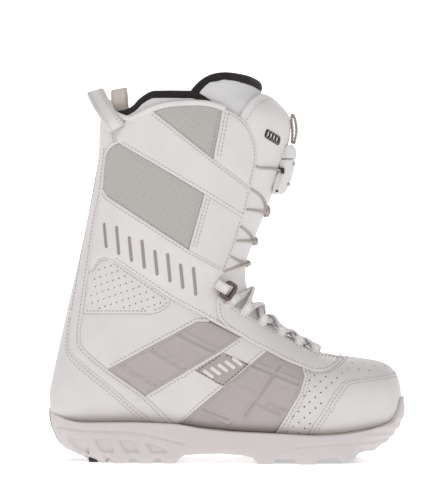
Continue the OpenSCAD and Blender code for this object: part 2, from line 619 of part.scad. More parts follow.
module lower_lace_loops() {
    color(WHITE) layer(-1.5, -0.2) for (r = LOWER_ROWS) polygon([
        side_view(on_shell(r[0] - 0.2, r[1] - 2, 0)), side_view(on_shell(r[0] + 0.2, r[1] - 2, 0)),
        side_view(on_shell(r[0] + 0.2, r[1] + 15, 0)), side_view(on_shell(r[0] - 0.2, r[1] + 15, 0))]);
}

// Ankle rings: a rectangular ribbed ring held by a folded tab on each side
RING_AT = [1.5, 149];
RING_SIZE = [13, 17];
RING_OPENING = RING_SIZE - [7, 7];
TAB_SIZE = [7, 9, 1.5];
module ring_place() {
    p = on_shell(12.9, -36, 0);
    translate([RING_AT[0], p[1] - 8.2, RING_AT[1]]) rotate([0, 32, 0]) rotate([0, 0, 34])
        rotate([90, 0, 0]) children();
}
module ring_shape() {
    translate([0, 0, -ring_bar / 2]) linear_extrude(ring_bar) difference() {
        square(RING_SIZE, center = true);
        square(RING_OPENING, center = true);
    }
}
module ankle_ring_outer() { color(BRONZE) ring_place() ring_shape(); }
module ankle_ring_inner() { color(BRONZE) mirror([0, 1, 0]) ring_place() ring_shape(); }
module ring_tabs() {
    color(WHITE) mirrored_pair() ring_place()
        translate([-RING_SIZE[0] / 2 - TAB_SIZE[0] - 1, -TAB_SIZE[1] / 2, -ring_bar / 2])
            cube(TAB_SIZE);
}

// Lace lock on the front of the tongue
LOCK_BODY = [[51.6, 263.4], [60.6, 263.4], [58.8, 255], [54.4, 240], [50, 233.6], [42.6, 233.6]];
LOCK_SLIDER = [[54.6, 276.8], [57.8, 276.4], [60.8, 272.5], [60.8, 264], [52.4, 264]];
LOCK_HALF = 15;                     // half of the lock body's width
SLIDER_HALF = 13;                   // half of the slider's width
LOCK_PINS = [[57.4, 260], [52.6, 242.5]];
PIN_FIT = 0.05;
PIN_OUT = 1.2;                      // how far a pin stands out of each side
SPRING_AT = [52.7, 0, 257.5];
SPRING_D = 3.4;
SPRING_FIT = 0.3;
LOCK_TILT = 16;                     // lean of the lock's height from upright
RIVET_AT = [46.8, -16, 236.5];
RIVET_D = 3;
RIVET_T = 1.6;
module lock_side(points, half) {
    rotate([90, 0, 0]) translate([0, 0, -half]) linear_extrude(2 * half) polygon(points);
}
module pin_at(p, clearance, half) {
    translate([p[0], 0, p[1]]) rotate([90, 0, 0])
        cylinder(d = lock_pin_d + 2 * clearance, h = 2 * half, center = true);
}
module along_spring(d, h) {
    translate(SPRING_AT) rotate([0, LOCK_TILT, 0]) cylinder(d = d, h = h, center = true);
}
module lock_body() {
    color(WHITE) difference() {
        lock_side(LOCK_BODY, LOCK_HALF);
        for (p = LOCK_PINS) pin_at(p, PIN_FIT, LOCK_HALF + 0.2);
        along_spring(SPRING_D + 2 * SPRING_FIT, 14);
    }
}
module lock_pins() { color(BINDING) for (p = LOCK_PINS) pin_at(p, 0, LOCK_HALF + PIN_OUT); }
module lock_slider() { color(WHITE) lock_side(LOCK_SLIDER, SLIDER_HALF); }
module lock_spring() { color("silver") along_spring(SPRING_D, 8); }
module lock_rivets() {
    color(BINDING) mirrored_pair() translate(RIVET_AT)
        rotate([90, 0, 0]) cylinder(d = RIVET_D, h = RIVET_T, center = true);
}

// Loops of webbing
module pull_handle() {
    color(LACE_GREY) band([[59.2, 0, 277.8], [61.3, 0, 289], [60, 0, 299.5], [57.5, 0, 303.5],
        [56.9, 0, 298], [57.8, 0, 288.5], [57.4, 0, 278.2]], [0, 1, 0], 9, 1);
}
module heel_pull_loop() {
    color(WHITE) band([[-95, -44, 289], [-99, -42, 296], [-106, -32, 306], [-112, -17, 316],
        [-115, -6, 322.5], [-116, 0, 324], [-115, 6, 322.5], [-112, 17, 316], [-106, 32, 306],
        [-99, 42, 296], [-95, 44, 289]], [0.955, 0, 0.297], loop_w, 1.8);
}
module liner_pull_loop() {
    color(BEIGE) band([[-92, -11, 303], [-94, -12.5, 312], [-94.5, -9, 321], [-95, 0, 325.5],
        [-94.5, 9, 321], [-94, 12.5, 312], [-92, 11, 303]], [0.98, 0, 0.2], 14, 1.8);
}

outsole();
tread_heel();
tread_forefoot();
midsole();
shank();
lasting_board();
foot_backing();
toe_cap();
vamp();
heel_counter();
quarter_lower();
backstay_lower();
rib_panels_rear();
rib_panels_front();
midfoot_bands();
midfoot_patches();
vamp_eyestays();
lower_tongue();
lower_lace();
lower_lace_loops();
ankle_ring_outer();
ankle_ring_inner();
ring_tabs();
footbed();
liner_foot();
flex_shell();
flex_tongue();
flex_liner();
cuff_backing();
collar_panels();
diagonal_straps();
side_windows();
front_panels();
quarter_upper();
quarter_bands();
vent_panels();
backstay_upper();
back_panel();
collar_back();
outer_tongue();
tongue_label();
upper_lace();
lock_body();
lock_slider();
lock_spring();
lock_pins();
lock_rivets();
pull_handle();
liner_cuff();
collar_binding();
liner_tongue();
liner_tongue_binding();
heel_pull_loop();
liner_pull_loop();
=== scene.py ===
"""Snowboard boot: its looks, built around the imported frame. Lengths are in mm until a mesh is made."""
import math

import bmesh
import bpy
import numpy as np
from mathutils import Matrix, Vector
from mathutils.geometry import delaunay_2d_cdt


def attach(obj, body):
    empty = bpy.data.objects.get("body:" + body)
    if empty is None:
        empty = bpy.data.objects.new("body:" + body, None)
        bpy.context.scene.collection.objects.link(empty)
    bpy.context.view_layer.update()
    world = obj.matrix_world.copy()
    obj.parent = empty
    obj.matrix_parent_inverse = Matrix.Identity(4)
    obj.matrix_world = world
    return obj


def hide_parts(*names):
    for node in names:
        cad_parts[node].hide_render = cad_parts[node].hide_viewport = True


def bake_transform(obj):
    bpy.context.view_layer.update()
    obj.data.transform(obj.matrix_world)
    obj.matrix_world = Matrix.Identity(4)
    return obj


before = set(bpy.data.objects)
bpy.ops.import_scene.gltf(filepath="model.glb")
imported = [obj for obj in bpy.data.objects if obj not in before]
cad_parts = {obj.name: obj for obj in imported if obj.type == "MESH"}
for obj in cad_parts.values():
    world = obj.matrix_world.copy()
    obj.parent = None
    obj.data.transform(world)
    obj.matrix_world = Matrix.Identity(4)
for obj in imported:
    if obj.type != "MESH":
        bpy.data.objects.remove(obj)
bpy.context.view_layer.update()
MM = 0.001

# Outer surface of the boot, the same cross-sections as the CAD source: front point x, z, back point x, z,
# half-width, front and back squareness, place of the greatest width from back to front, and sideways shift.
SECTIONS = np.array([
    [153.4, 57.0, 152.6, 48.0, 7.0, 2.2, 2.6, 0.45, 5.0],
    [151.8, 68.0, 150.0, 38.0, 22.0, 2.2, 3.0, 0.42, 5.0],
    [147.0, 78.5, 144.0, 31.5, 34.0, 2.2, 3.4, 0.40, 4.6],
    [138.0, 85.0, 133.0, 27.0, 43.0, 2.2, 3.8, 0.40, 4.0],
    [122.0, 88.5, 116.0, 23.5, 50.0, 2.2, 4.0, 0.40, 3.0],
    [101.5, 91.5, 94.0, 21.0, 53.5, 2.2, 4.0, 0.40, 2.0],
    [83.0, 95.5, 68.0, 20.5, 54.5, 2.2, 4.0, 0.40, 1.0],
    [66.0, 103.5, 42.0, 22.0, 53.0, 2.2, 4.0, 0.40, 0.0],
    [50.0, 113.5, 14.0, 23.5, 50.0, 2.2, 4.0, 0.40, -0.5],
    [36.5, 124.5, -16.0, 26.0, 47.0, 2.2, 4.0, 0.40, -0.8],
    [26.5, 136.0, -50.0, 29.5, 44.5, 2.2, 3.8, 0.40, -0.6],
    [20.5, 146.0, -88.0, 31.0, 43.0, 2.2, 3.6, 0.42, -0.3],
    [18.0, 155.0, -126.0, 31.0, 42.0, 2.2, 3.4, 0.44, 0.0],
    [17.3, 161.0, -150.0, 36.0, 42.0, 2.2, 3.2, 0.46, 0.0],
    [17.4, 166.0, -155.5, 54.0, 42.5, 2.2, 3.0, 0.48, 0.0],
    [17.8, 170.5, -153.0, 72.0, 43.5, 2.2, 2.8, 0.50, 0.0],
    [18.6, 175.0, -149.0, 91.0, 45.0, 2.2, 2.7, 0.50, 0.0],
    [20.0, 180.0, -144.0, 113.0, 46.0, 2.2, 2.6, 0.50, 0.0],
    [23.0, 188.0, -138.5, 138.0, 47.5, 2.2, 2.5, 0.50, 0.0],
    [28.2, 201.0, -131.0, 169.0, 49.0, 2.2, 2.5, 0.50, 0.0],
    [35.5, 219.0, -123.0, 206.0, 51.0, 2.2, 2.4, 0.50, 0.0],
    [43.5, 240.0, -117.0, 238.5, 53.0, 2.2, 2.4, 0.50, 0.0],
    [51.5, 264.0, -112.5, 264.5, 54.5, 2.2, 2.4, 0.50, 0.0],
    [57.2, 287.0, -111.3, 287.0, 55.5, 2.2, 2.4, 0.50, 0.0],
    [56.0, 302.0, -110.0, 301.0, 55.5, 2.2, 2.4, 0.50, 0.0],
    [47.5, 313.0, -106.0, 313.0, 55.0, 2.2, 2.4, 0.50, 0.0],
    [38.5, 321.0, -103.0, 322.0, 54.5, 2.2, 2.4, 0.50, 0.0],
    [36.0, 337.0, -101.0, 338.0, 54.0, 2.2, 2.4, 0.50, 0.0]])


def between(table, v):
    """Smooth value between the rows of a table."""
    v = np.clip(np.asarray(v, float), 0, len(table) - 1)
    i = np.minimum(v.astype(int), len(table) - 2)
    f = (v - i)[..., None]
    a, b, c, d = (table[np.clip(i + k, 0, len(table) - 1)] for k in (-1, 0, 1, 2))
    return b + 0.5 * f * (c - a + f * (2 * a - 5 * b + 4 * c - d + f * (3 * (b - c) + d - a)))


def bow(a, n):
    """A cosine or sine made squarer by the power n of a superellipse."""
    return np.sign(a) * np.abs(a) ** (2 / n)


def on_shell(v, u, d=0.0):
    """Points at section v and angle u from the front, d under the surface. Negative u is the outer side."""
    v, u, d = np.broadcast_arrays(*(np.asarray(q, float) for q in (v, u, d)))
    s = between(SECTIONS, v)
    front, back = s[..., 0:2], s[..., 2:4]
    span = np.linalg.norm(front - back, axis=-1)
    along = (front - back) / span[..., None]
    middle = back + along * (span * s[..., 7])[..., None]
    c, t = np.cos(np.radians(u)), np.sin(np.radians(u))
    n = np.where(c >= 0, s[..., 5], s[..., 6])
    reach = np.where(c >= 0, span * (1 - s[..., 7]), span * s[..., 7]) - d
    p = middle + along * (reach * bow(c, n))[..., None]
    return np.stack([p[..., 0], s[..., 8] + (s[..., 4] - d) * bow(t, n), p[..., 1]], -1)


GRID_V = np.linspace(0, len(SECTIONS) - 1, 2701)
GRID = between(SECTIONS, GRID_V)
GRID_STEP = sum(np.linalg.norm(np.diff(GRID[:, k:k + 2], axis=0), axis=1) for k in (0, 2)) / 2
GRID_S = np.concatenate([[0], np.cumsum(GRID_STEP)])
U_MM = 0.72                              # mm round the boot for each degree of angle, for the flat layout
BATCH = 400                              # points worked on at a time, which bounds the memory used
PAST_END = 9                             # mm by which a point may lie beyond a section's end


def to_shell(xz):
    """Section and angle, 0 to 180, of points given in side view as x, z."""
    found = []
    for q in np.array_split(np.asarray(xz, float).reshape(-1, 2), max(1, len(xz) // BATCH)):
        back = GRID[:, 2:4]
        line = GRID[:, 0:2] - back
        length = np.linalg.norm(line, axis=1)
        line = line / length[:, None]
        r = q[:, None] - back
        off = r[..., 0] * line[:, 1] - r[..., 1] * line[:, 0]
        t = r[..., 0] * line[:, 0] + r[..., 1] * line[:, 1]
        k = np.argmin(np.abs(off) + 1e3 * ((t < -PAST_END) | (t > length + PAST_END)), axis=1)
        lo, hi = np.maximum(k - 1, 0), np.minimum(k + 1, len(GRID) - 1)
        rows = np.arange(len(q))
        slope = (off[rows, hi] - off[rows, lo]) / (hi - lo)
        step = np.clip(-off[rows, k] / np.where(np.abs(slope) < 1e-9, 1e9, slope), -1, 1)
        v = np.interp(k + step, np.arange(len(GRID)), GRID_V)
        s = between(SECTIONS, v)
        line = s[:, 0:2] - s[:, 2:4]
        f = ((q - s[:, 2:4]) * line).sum(1) / (line ** 2).sum(1)
        c = s[:, 7]
        a = np.clip(np.where(f >= c, (f - c) / (1 - c), (c - f) / c), 0, 1)
        cosine = np.where(f >= c, a ** (s[:, 5] / 2), -a ** (s[:, 6] / 2))
        found.append(np.stack([v, np.degrees(np.arccos(cosine))], 1))
    return np.concatenate(found)


def lay_flat(vu):
    """Points of the surface in a flat layout, in mm along v and u."""
    return np.stack([np.interp(vu[:, 0], GRID_V, GRID_S), vu[:, 1] * U_MM], 1)


def from_flat(p):
    return np.stack([np.interp(p[:, 0], GRID_S, GRID_V), p[:, 1] / U_MM], 1)


def across(vu, wrap):
    """The same points on the other side of the centre line at the angle wrap."""
    other = vu.copy()
    other[:, 1] = 2 * wrap - other[:, 1]
    return other


# Lines and outlines
CORNER_REACH = 2.2                       # a rounded corner takes at most its side's length over this


def lengths(p):
    """Distance along a line to each of its points."""
    return np.concatenate([[0], np.cumsum(np.linalg.norm(np.diff(p, axis=0), axis=1))])


def tangents(p, closed=False, reach=1):
    """Direction of a line at each of its points, from its neighbours."""
    if closed:
        t = np.roll(p, -reach, 0) - np.roll(p, reach, 0)
    else:
        t = np.vstack([p[1:], p[-1:]]) - np.vstack([p[:1], p[:-1]])
    return t / np.maximum(np.linalg.norm(t, axis=1), 1e-9)[:, None]


def resample(points, step, closed=False):
    """The same line with evenly spaced points that keep its corners."""
    p = np.asarray(points, float)
    if closed:
        p = np.vstack([p, p[:1]])
    out = []
    for a, b in zip(p[:-1], p[1:]):
        n = max(1, int(round(np.linalg.norm(b - a) / step)))
        out += [a + (b - a) * i / n for i in range(n)]
    return np.array(out if closed else out + [p[-1]])


def spline(points, fine):
    """A smooth curve through the points, fine steps from each to the next."""
    p = np.asarray(points, float)
    return between(p, np.arange(0, (len(p) - 1) * fine + 1) / fine)


def smooth(points):
    """A smooth curve in side view through the points."""
    return resample(spline(points, 12), 1.5)


def curve3(points, step):
    """A smooth curve in space through the points, with even steps."""
    q = spline(points, 10)
    s = lengths(q)
    at = np.linspace(0, s[-1], max(4, int(s[-1] / step)) + 1)
    return np.stack([np.interp(at, s, q[:, k]) for k in range(3)], 1)


def rounded(points, radius, step):
    """A closed outline with every corner rounded by up to radius."""
    p = np.asarray(points, float)
    out = []
    for i in range(len(p)):
        a, b, c = p[i - 1], p[i], p[(i + 1) % len(p)]
        before, after = a - b, c - b
        la, lc = np.linalg.norm(before), np.linalg.norm(after)
        r = min(radius, la / CORNER_REACH, lc / CORNER_REACH)
        s, e = b + before / la * r, b + after / lc * r
        out += [(1 - t) ** 2 * s + 2 * t * (1 - t) * b + t * t * e for t in np.linspace(0, 1, 7)]
    return resample(out, step, True)


def follow(line, start, end):
    """The stretch of a line from the point nearest start to the point nearest end."""
    i, j = (int(np.argmin(np.linalg.norm(line - np.array(q), axis=1))) for q in (start, end))
    return line[i:j + 1] if i <= j else line[j:i + 1][::-1]


def inside(points, loop):
    """Which points lie inside a closed loop."""
    x, y = points[:, 0][:, None], points[:, 1][:, None]
    a, b = loop, np.roll(loop, -1, 0)
    crosses = (a[:, 1] > y) != (b[:, 1] > y)
    with np.errstate(divide="ignore", invalid="ignore"):
        at = a[:, 0] + (y - a[:, 1]) * (b[:, 0] - a[:, 0]) / (b[:, 1] - a[:, 1])
    return (crosses & (x < at)).sum(1) % 2 == 1


def nearest(points, others):
    """Distance from each point to the nearest of the others."""
    parts = np.array_split(points, max(1, len(points) // BATCH))
    return np.concatenate([np.sqrt(((p[:, None] - others[None]) ** 2).sum(2).min(1)) for p in parts])


# Moving about on the surface
def slopes(vu):
    """Points of the surface with their steps along v and u, and the outward normal."""
    v, u = vu[:, 0], vu[:, 1]
    e, f = 0.02, 0.6
    pv = (on_shell(v + e, u) - on_shell(v - e, u)) / (2 * e)
    pu = (on_shell(v, u + f) - on_shell(v, u - f)) / (2 * f)
    n = np.cross(pv, pu)
    n /= np.maximum(np.linalg.norm(n, axis=1), 1e-9)[:, None]
    p = on_shell(v, u)
    s = between(SECTIONS, v)
    centre = np.stack([(s[:, 0] + s[:, 2]) / 2, s[:, 8], (s[:, 1] + s[:, 3]) / 2], 1)
    n *= np.sign(((p - centre) * n).sum(1))[:, None]
    return p, pv, pu, n


def shift(vu, by, closed=False):
    """A line on the surface moved sideways along the surface, to the left seen from outside."""
    p, pv, pu, n = slopes(vu)
    move = np.cross(n, tangents(p, closed)) * by
    a, b, c = (pv * pv).sum(1), (pv * pu).sum(1), (pu * pu).sum(1)
    d, e = (pv * move).sum(1), (pu * move).sum(1)
    det = np.maximum(a * c - b * b, 1e-6)
    return vu + np.stack([(c * d - b * e) / det, (a * e - b * d) / det], 1)


def spaced(vu, step, closed=False):
    """The same line on the surface with points an even distance apart."""
    if closed:
        vu = np.vstack([vu, vu[:1]])
    quarters = np.arange(4)[:, None] / 4
    fine = np.vstack([a + (b - a) * quarters for a, b in zip(vu[:-1], vu[1:])] + [vu[-1:]])
    s = lengths(on_shell(fine[:, 0], fine[:, 1]))
    at = np.linspace(0, s[-1], max(3, int(round(s[-1] / step))) + 1)
    line = np.stack([np.interp(at, s, fine[:, k]) for k in (0, 1)], 1)
    return line[:-1] if closed else line


# Meshes
class Build:
    """Collects points and faces for one piece. Points are in millimetres."""

    def __init__(self):
        self.points, self.faces, self.kinds, self.uvs, self.count = [], [], [], [], 0

    def add(self, points, faces, kind=0, uv=None):
        """Adds points, and faces that take the material numbered kind."""
        points = np.asarray(points, float).reshape(-1, 3)
        self.points.append(points)
        self.uvs.append(points[:, [0, 2]] if uv is None else np.asarray(uv, float))
        self.faces += [tuple(int(i) + self.count for i in f) for f in faces]
        self.kinds += [kind] * len(faces)
        self.count += len(points)

    def make(self, name, materials):
        """The piece as an object, its faces turned outwards."""
        mesh = bpy.data.meshes.new(name)
        points, uvs = np.vstack(self.points) * MM, np.vstack(self.uvs) * MM
        mesh.from_pydata(points.tolist(), [], self.faces)
        mesh.polygons.foreach_set("material_index", self.kinds)
        mesh.polygons.foreach_set("use_smooth", [True] * len(self.faces))
        layer = mesh.uv_layers.new(name="UVMap")
        index = np.zeros(len(mesh.loops), int)
        mesh.loops.foreach_get("vertex_index", index)
        layer.data.foreach_set("uv", uvs[index].astype(np.float32).ravel())
        mesh.validate()
        for m in materials:
            mesh.materials.append(m)
        obj = bpy.data.objects.new(name, mesh)
        bpy.context.scene.collection.objects.link(obj)
        work = bmesh.new()
        work.from_mesh(mesh)
        bmesh.ops.recalc_face_normals(work, faces=work.faces)
        work.to_mesh(mesh)
        work.free()
        return obj


def grid_faces(rows, columns, closed=False):
    """Quads of a grid of points; closed joins the last column to the first."""
    out = []
    for i in range(rows - 1):
        for j in range(columns if closed else columns - 1):
            k = (j + 1) % columns
            out.append((i * columns + j, i * columns + k, (i + 1) * columns + k, (i + 1) * columns + j))
    return out


def rod_faces(rows, around):
    """Faces of a closed rod: its side, and a cap on each end."""
    last = (rows - 1) * around
    caps = [tuple(range(around)), tuple(range(last + around - 1, last - 1, -1))]
    return grid_faces(rows, around, True) + caps


FOLD_START = np.array([10.0, 0.0, 160.0])    # where the cuff begins to follow its own body
FOLD_NORMAL = np.array([-0.242, 0.0, 0.970])
FOLD_WIDTH = 50.0


def place(obj, slot, *nodes):
    """Rides the piece on the foot or the cuff; a piece that crosses the ankle stays apart, its transform
    baked into its mesh.
    """
    co = np.zeros(len(obj.data.vertices) * 3)
    obj.data.vertices.foreach_get("co", co)
    t = (co.reshape(-1, 3) / MM - FOLD_START) @ FOLD_NORMAL / FOLD_WIDTH
    if t.max() <= 0:
        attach(obj, "foot")
    elif t.min() >= 1:
        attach(obj, "cuff")
    else:
        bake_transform(obj)
    tag(obj, slot, *nodes)


def ride(obj, body, slot, *nodes):
    """Rides the piece on one body."""
    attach(obj, body)
    tag(obj, slot, *nodes)


def tag(obj, slot, *nodes):
    if nodes:
        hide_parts(*nodes)


STITCH_PITCH, STITCH_LENGTH, STITCH_R = 3.4, 2.5, 0.34
STITCH_ALONG = np.array([0, 0.15, 0.5, 0.85, 1])     # rings of points along a stitch
STITCH_GIRTH = np.array([0.3, 0.85, 1, 0.85, 0.3])   # their radii
STITCH_LIFT = np.array([-0.7, 0.1, 0.35, 0.1, -0.7])
RING6 = np.arange(6) * math.pi / 3


def add_thread(build, p, n, pitch=STITCH_PITCH, length=STITCH_LENGTH, r=STITCH_R):
    """Stitches along a line of points with normals, in the piece's second material."""
    s = lengths(p)
    count = int(s[-1] / pitch)
    if count < 1:
        return
    starts = (np.arange(count) + 0.5) * s[-1] / count - length / 2
    at = starts[:, None] + STITCH_ALONG * length
    q = np.stack([np.interp(at, s, p[:, k]) for k in range(3)], -1)
    m = np.stack([np.interp(at, s, n[:, k]) for k in range(3)], -1)
    m /= np.linalg.norm(m, axis=-1, keepdims=True)
    t = (q[:, -1] - q[:, 0])[:, None]
    t = t / np.maximum(np.linalg.norm(t, axis=-1, keepdims=True), 1e-9)
    b = np.cross(t, m)
    ring = (q + m * (STITCH_LIFT * r)[:, None])[:, :, None] + (STITCH_GIRTH * r)[:, None, None] * (
        np.cos(RING6)[:, None] * b[:, :, None] + np.sin(RING6)[:, None] * m[:, :, None])
    rings, around = len(STITCH_ALONG), len(RING6)
    one = rod_faces(rings, around)
    build.add(ring, [tuple(c * rings * around + i for i in f) for c in range(count) for f in one], 1)


def add_stitches(build, vu, depth):
    """A row of stitches along a line on the surface."""
    add_thread(build, on_shell(vu[:, 0], vu[:, 1], depth), slopes(vu)[3])


IN_ROWS, IN_GRID, IN_HOLE = 1.0, 5.0, 9.0     # kinds of points in a panel; its outline is 0


def loop_edges(start, n):
    return [(start + i, start + (i + 1) % n) for i in range(n)]


def triangulate(loop, rings, holes, step):
    """Triangles of a panel in the flat layout, from its outline, holes, inner rows and an even grid."""
    flat = lay_flat(loop)
    rows = [lay_flat(ring) for ring in rings]
    near = np.vstack([flat] + rows + list(holes))
    lo, hi = flat.min(0), flat.max(0)
    gx = np.arange(lo[0], hi[0], step)
    gy = np.arange(lo[1], hi[1], step * 0.866)
    grid = np.array([(x + (j % 2) * step / 2, y) for j, y in enumerate(gy) for x in gx]).reshape(-1, 2)
    grid = grid[inside(grid, flat)]
    if len(grid):
        grid = grid[nearest(grid, near) > step * 0.62]
    rows = [row[inside(row, flat)] for row in rows]
    parts = [flat] + list(holes) + rows + [grid]
    kinds = [0.0] + [IN_HOLE] * len(holes) + [k + IN_ROWS for k in range(len(rows))] + [IN_GRID]
    kinds = np.concatenate([np.full(len(part), kind) for part, kind in zip(parts, kinds)])
    edges, start = [], 0
    for part in parts[:1 + len(holes)]:
        edges += loop_edges(start, len(part))
        start += len(part)
    out = delaunay_2d_cdt([Vector(p) for p in np.vstack(parts)], edges, [], 0, 1e-5)
    verts = np.array([tuple(v) for v in out[0]])
    kind = np.array([kinds[o[0]] if o else 0.0 for o in out[3]])
    tris = np.array([tuple(f) for f in out[2] if len(f) == 3])
    centre = verts[tris].mean(1)
    keep = inside(centre, flat)
    for hole in holes:
        close = np.linalg.norm(centre - hole.mean(0), axis=1) < 3
        if close.any():
            keep[close] &= ~inside(centre[close], hole)
    tris = tris[keep]
    used = np.unique(tris)
    remap = np.full(len(verts), -1)
    remap[used] = np.arange(len(used))
    return verts[used], kind[used], remap[tris]


EDGE_ROWS = ((0.4, 0.22), (1.1, 0.04))       # how far inside the edge, and how far below the top
OUTLINE_STEP, SEAM_STEP = 1.6, 1.5           # spacing of the points along outlines and along seams
HOLE_TURNS = np.arange(8) * math.pi / 4
HOLE_DEPTH = 1.2


def hole_loop(c, radius):
    """A round hole about the surface point c, in the flat layout."""
    q = np.repeat(c, len(HOLE_TURNS), 0)
    _, pv, pu, _ = slopes(q)
    return lay_flat(q + np.stack([np.cos(HOLE_TURNS) * radius / np.linalg.norm(pv, axis=1),
                                  np.sin(HOLE_TURNS) * radius / np.linalg.norm(pu, axis=1)], 1))


def outline(pieces, wrap):
    """The closed outline of a panel from its edges, mirrored over the centre line if wrap gives one."""
    if wrap is None:
        return spaced(np.vstack([p[:-1] for p in pieces]), OUTLINE_STEP, True)
    half = spaced(np.vstack([p[:-1] for p in pieces] + [pieces[-1][-1:]]), OUTLINE_STEP)
    return np.vstack([half, across(half[::-1], wrap)[1:-1]])


def panel(name, nodes, slot, materials, edges, top=0.0, thick=3.6, step=2.8, round_edge=0.75, puff=0.35,
          holes=(), relief=None, wrap=None, sides=(-1, 1), tip=False):
    """A sewn panel of the upper. Each edge is a line in side view with the distances of its rows of stitches.
    wrap is the angle of the centre line it is mirrored over: 0 at the front, 180 at the back."""
    pieces = [to_shell(resample(line, SEAM_STEP)) for line, _ in edges]
    if wrap is not None:
        pieces[0][0, 1] = pieces[-1][-1, 1] = wrap
    copies = [lambda q: q] if wrap is None else [lambda q: q, lambda q: across(q, wrap)]
    loop = outline(pieces, wrap)
    turn = 1 if inside(lay_flat(shift(loop, 0.5, True)), lay_flat(loop)).mean() > 0.5 else -1
    rings = [shift(loop, turn * by, True) for by, _ in EDGE_ROWS]
    hole_loops = [hole_loop(copy(to_shell(np.array([h[:2]]))), h[2]) for h in holes for copy in copies]
    verts, kind, tris = triangulate(loop, rings, hole_loops, step)
    vu = from_flat(verts)
    vu[:, 1] = np.clip(vu[:, 1], -180, 360)
    rest = on_shell(vu[:, 0], vu[:, 1])
    edge = on_shell(loop[:, 0], loop[:, 1])
    far = nearest(rest, edge)
    depth = top - puff * (1 - np.exp(-np.maximum(far - 1, 0) / 6))
    depth = np.where(kind == 0, top + round_edge, depth)
    for k, (_, drop) in enumerate(EDGE_ROWS):
        depth = np.where(kind == k + IN_ROWS, top + drop, depth)
    if relief is not None:
        depth = depth - relief(rest[:, [0, 2]], far)
    for side in (sides if wrap is None else (1,)):
        build = Build()
        build.add(on_shell(vu[:, 0], side * vu[:, 1], depth), tris, 0, rest[:, [0, 2]])
        wall = [on_shell(loop[:, 0], side * loop[:, 1], d) for d in (top + round_edge, thick)]
        build.add(np.vstack(wall), grid_faces(2, len(loop), True), 0, np.tile(edge[:, [0, 2]], (2, 1)))
        # Each perforation gets a well in the panel's last material; in the vented panels that is a dark grey
        # that paints the shade inside the hole
        for hole in hole_loops:
            q, n = from_flat(hole), len(hole)
            well = [on_shell(q[:, 0], side * q[:, 1], d) for d in (top - puff, top + HOLE_DEPTH)]
            build.add(np.vstack(well), grid_faces(2, n, True) + [tuple(range(n, 2 * n))], len(materials) - 1)
        for piece, (_, seams) in zip(pieces, edges):
            for by in seams:
                row = shift(spaced(piece, SEAM_STEP), turn * by)[2:-2]
                if len(row) < 3:
                    continue
                for copy in copies:
                    add_stitches(build, copy(row) * [1, side], top - puff * 0.35)
        if tip:                              # closes the boot's first section, at the toe
            around = on_shell(0, np.arange(0, 360, 10), top + 0.3)
            n, point = len(around), around.mean(0) + [1.2, 0, 0]
            build.add(np.vstack([around, point]), [(i, (i + 1) % n, n) for i in range(n)])
        ending = "" if wrap is not None else "_outer" if side < 0 else "_inner"
        place(build.make(name + ending, materials), slot, *nodes)


# Materials
class Nodes:
    """The shader nodes of one material or world. Inputs are values or other nodes' sockets."""

    def __init__(self, tree):
        self.tree = tree

    def put(self, kind, inputs=(), **settings):
        node = self.tree.nodes.new("ShaderNode" + kind)
        for key, value in settings.items():
            setattr(node, key, value)
        for key, value in dict(inputs).items():
            if isinstance(value, bpy.types.NodeSocket):
                self.tree.links.new(value, node.inputs[key])
            else:
                node.inputs[key].default_value = value
        return node

    def math(self, operation, a, b=0.0, c=0.0):
        return self.put("Math", {0: a, 1: b, 2: c}, operation=operation).outputs[0]

    def times(self, a, b):
        return self.math("MULTIPLY", a, b)

    def plus(self, a, b):
        return self.math("ADD", a, b)

    def mixed(self, factor, a, b):
        return self.put("Mix", {0: factor, 6: a, 7: b}, data_type="RGBA").outputs[2]

    def noise(self, at, size, detail=3.0):
        """Noise with features about size mm across."""
        inputs = {"Vector": at, "Scale": 1000 / size, "Detail": detail, "Roughness": 0.55}
        return self.put("TexNoise", inputs).outputs[0]

    def parts(self, vector):
        return self.put("SeparateXYZ", {0: vector}).outputs


def rgb(*screen):
    """A colour given as it looks on screen, 0 to 255."""
    linear = [c / 255 / 12.92 if c / 255 <= 0.04045 else ((c / 255 + 0.055) / 1.055) ** 2.4 for c in screen]
    return (*linear, 1.0)


def shade(colour, f):
    return (colour[0] * f, colour[1] * f, colour[2] * f, 1.0)


ROUGH_RANGE = 0.22                       # how far a pattern varies its material's roughness


def material(name, colour, rough, pattern, bump_mm, **surface):
    """A material whose pattern makes its colour, its bump and how its roughness varies."""
    m = bpy.data.materials.new(name)
    m.use_nodes = True
    n = Nodes(m.node_tree)
    shader = n.tree.nodes["Principled BSDF"]
    at = n.put("TexCoord").outputs["Object"]
    uv = n.put("UVMap", uv_map="UVMap").outputs["UV"]
    tint, height, rough_by = pattern(n, at, uv, rgb(*colour))
    bump = n.put("Bump", {"Strength": 1.0, "Distance": bump_mm * MM, "Height": height})
    roughness = n.math("MULTIPLY_ADD", rough_by, ROUGH_RANGE, rough - ROUGH_RANGE / 2)
    for socket, name_in in ((tint, "Base Color"), (bump.outputs[0], "Normal"), (roughness, "Roughness")):
        n.tree.links.new(socket, shader.inputs[name_in])
    for key, value in surface.items():
        shader.inputs[key.replace("_", " ")].default_value = value
    return m


def grain_of(size):
    """Pebbled leather or moulded skin with pebbles about size mm across and faint scuffs."""
    def make(n, at, uv, colour):
        cells = n.put("TexVoronoi", {"Vector": at, "Scale": 1000 / size}, feature="SMOOTH_F1").outputs[0]
        fine = n.noise(at, size * 0.5)
        broad = n.noise(at, 22.0, 4.0)
        soft = n.math("MULTIPLY_ADD", broad, 1.6, -0.3)
        tint = n.mixed(soft, shade(colour, 0.95), shade(colour, 1.03))
        tint = n.mixed(n.times(cells, 0.16), tint, shade(colour, 0.8))
        height = n.plus(n.times(cells, -0.8), n.times(fine, 0.6))
        return tint, height, n.plus(n.times(broad, 0.6), n.times(fine, 0.5))
    return make


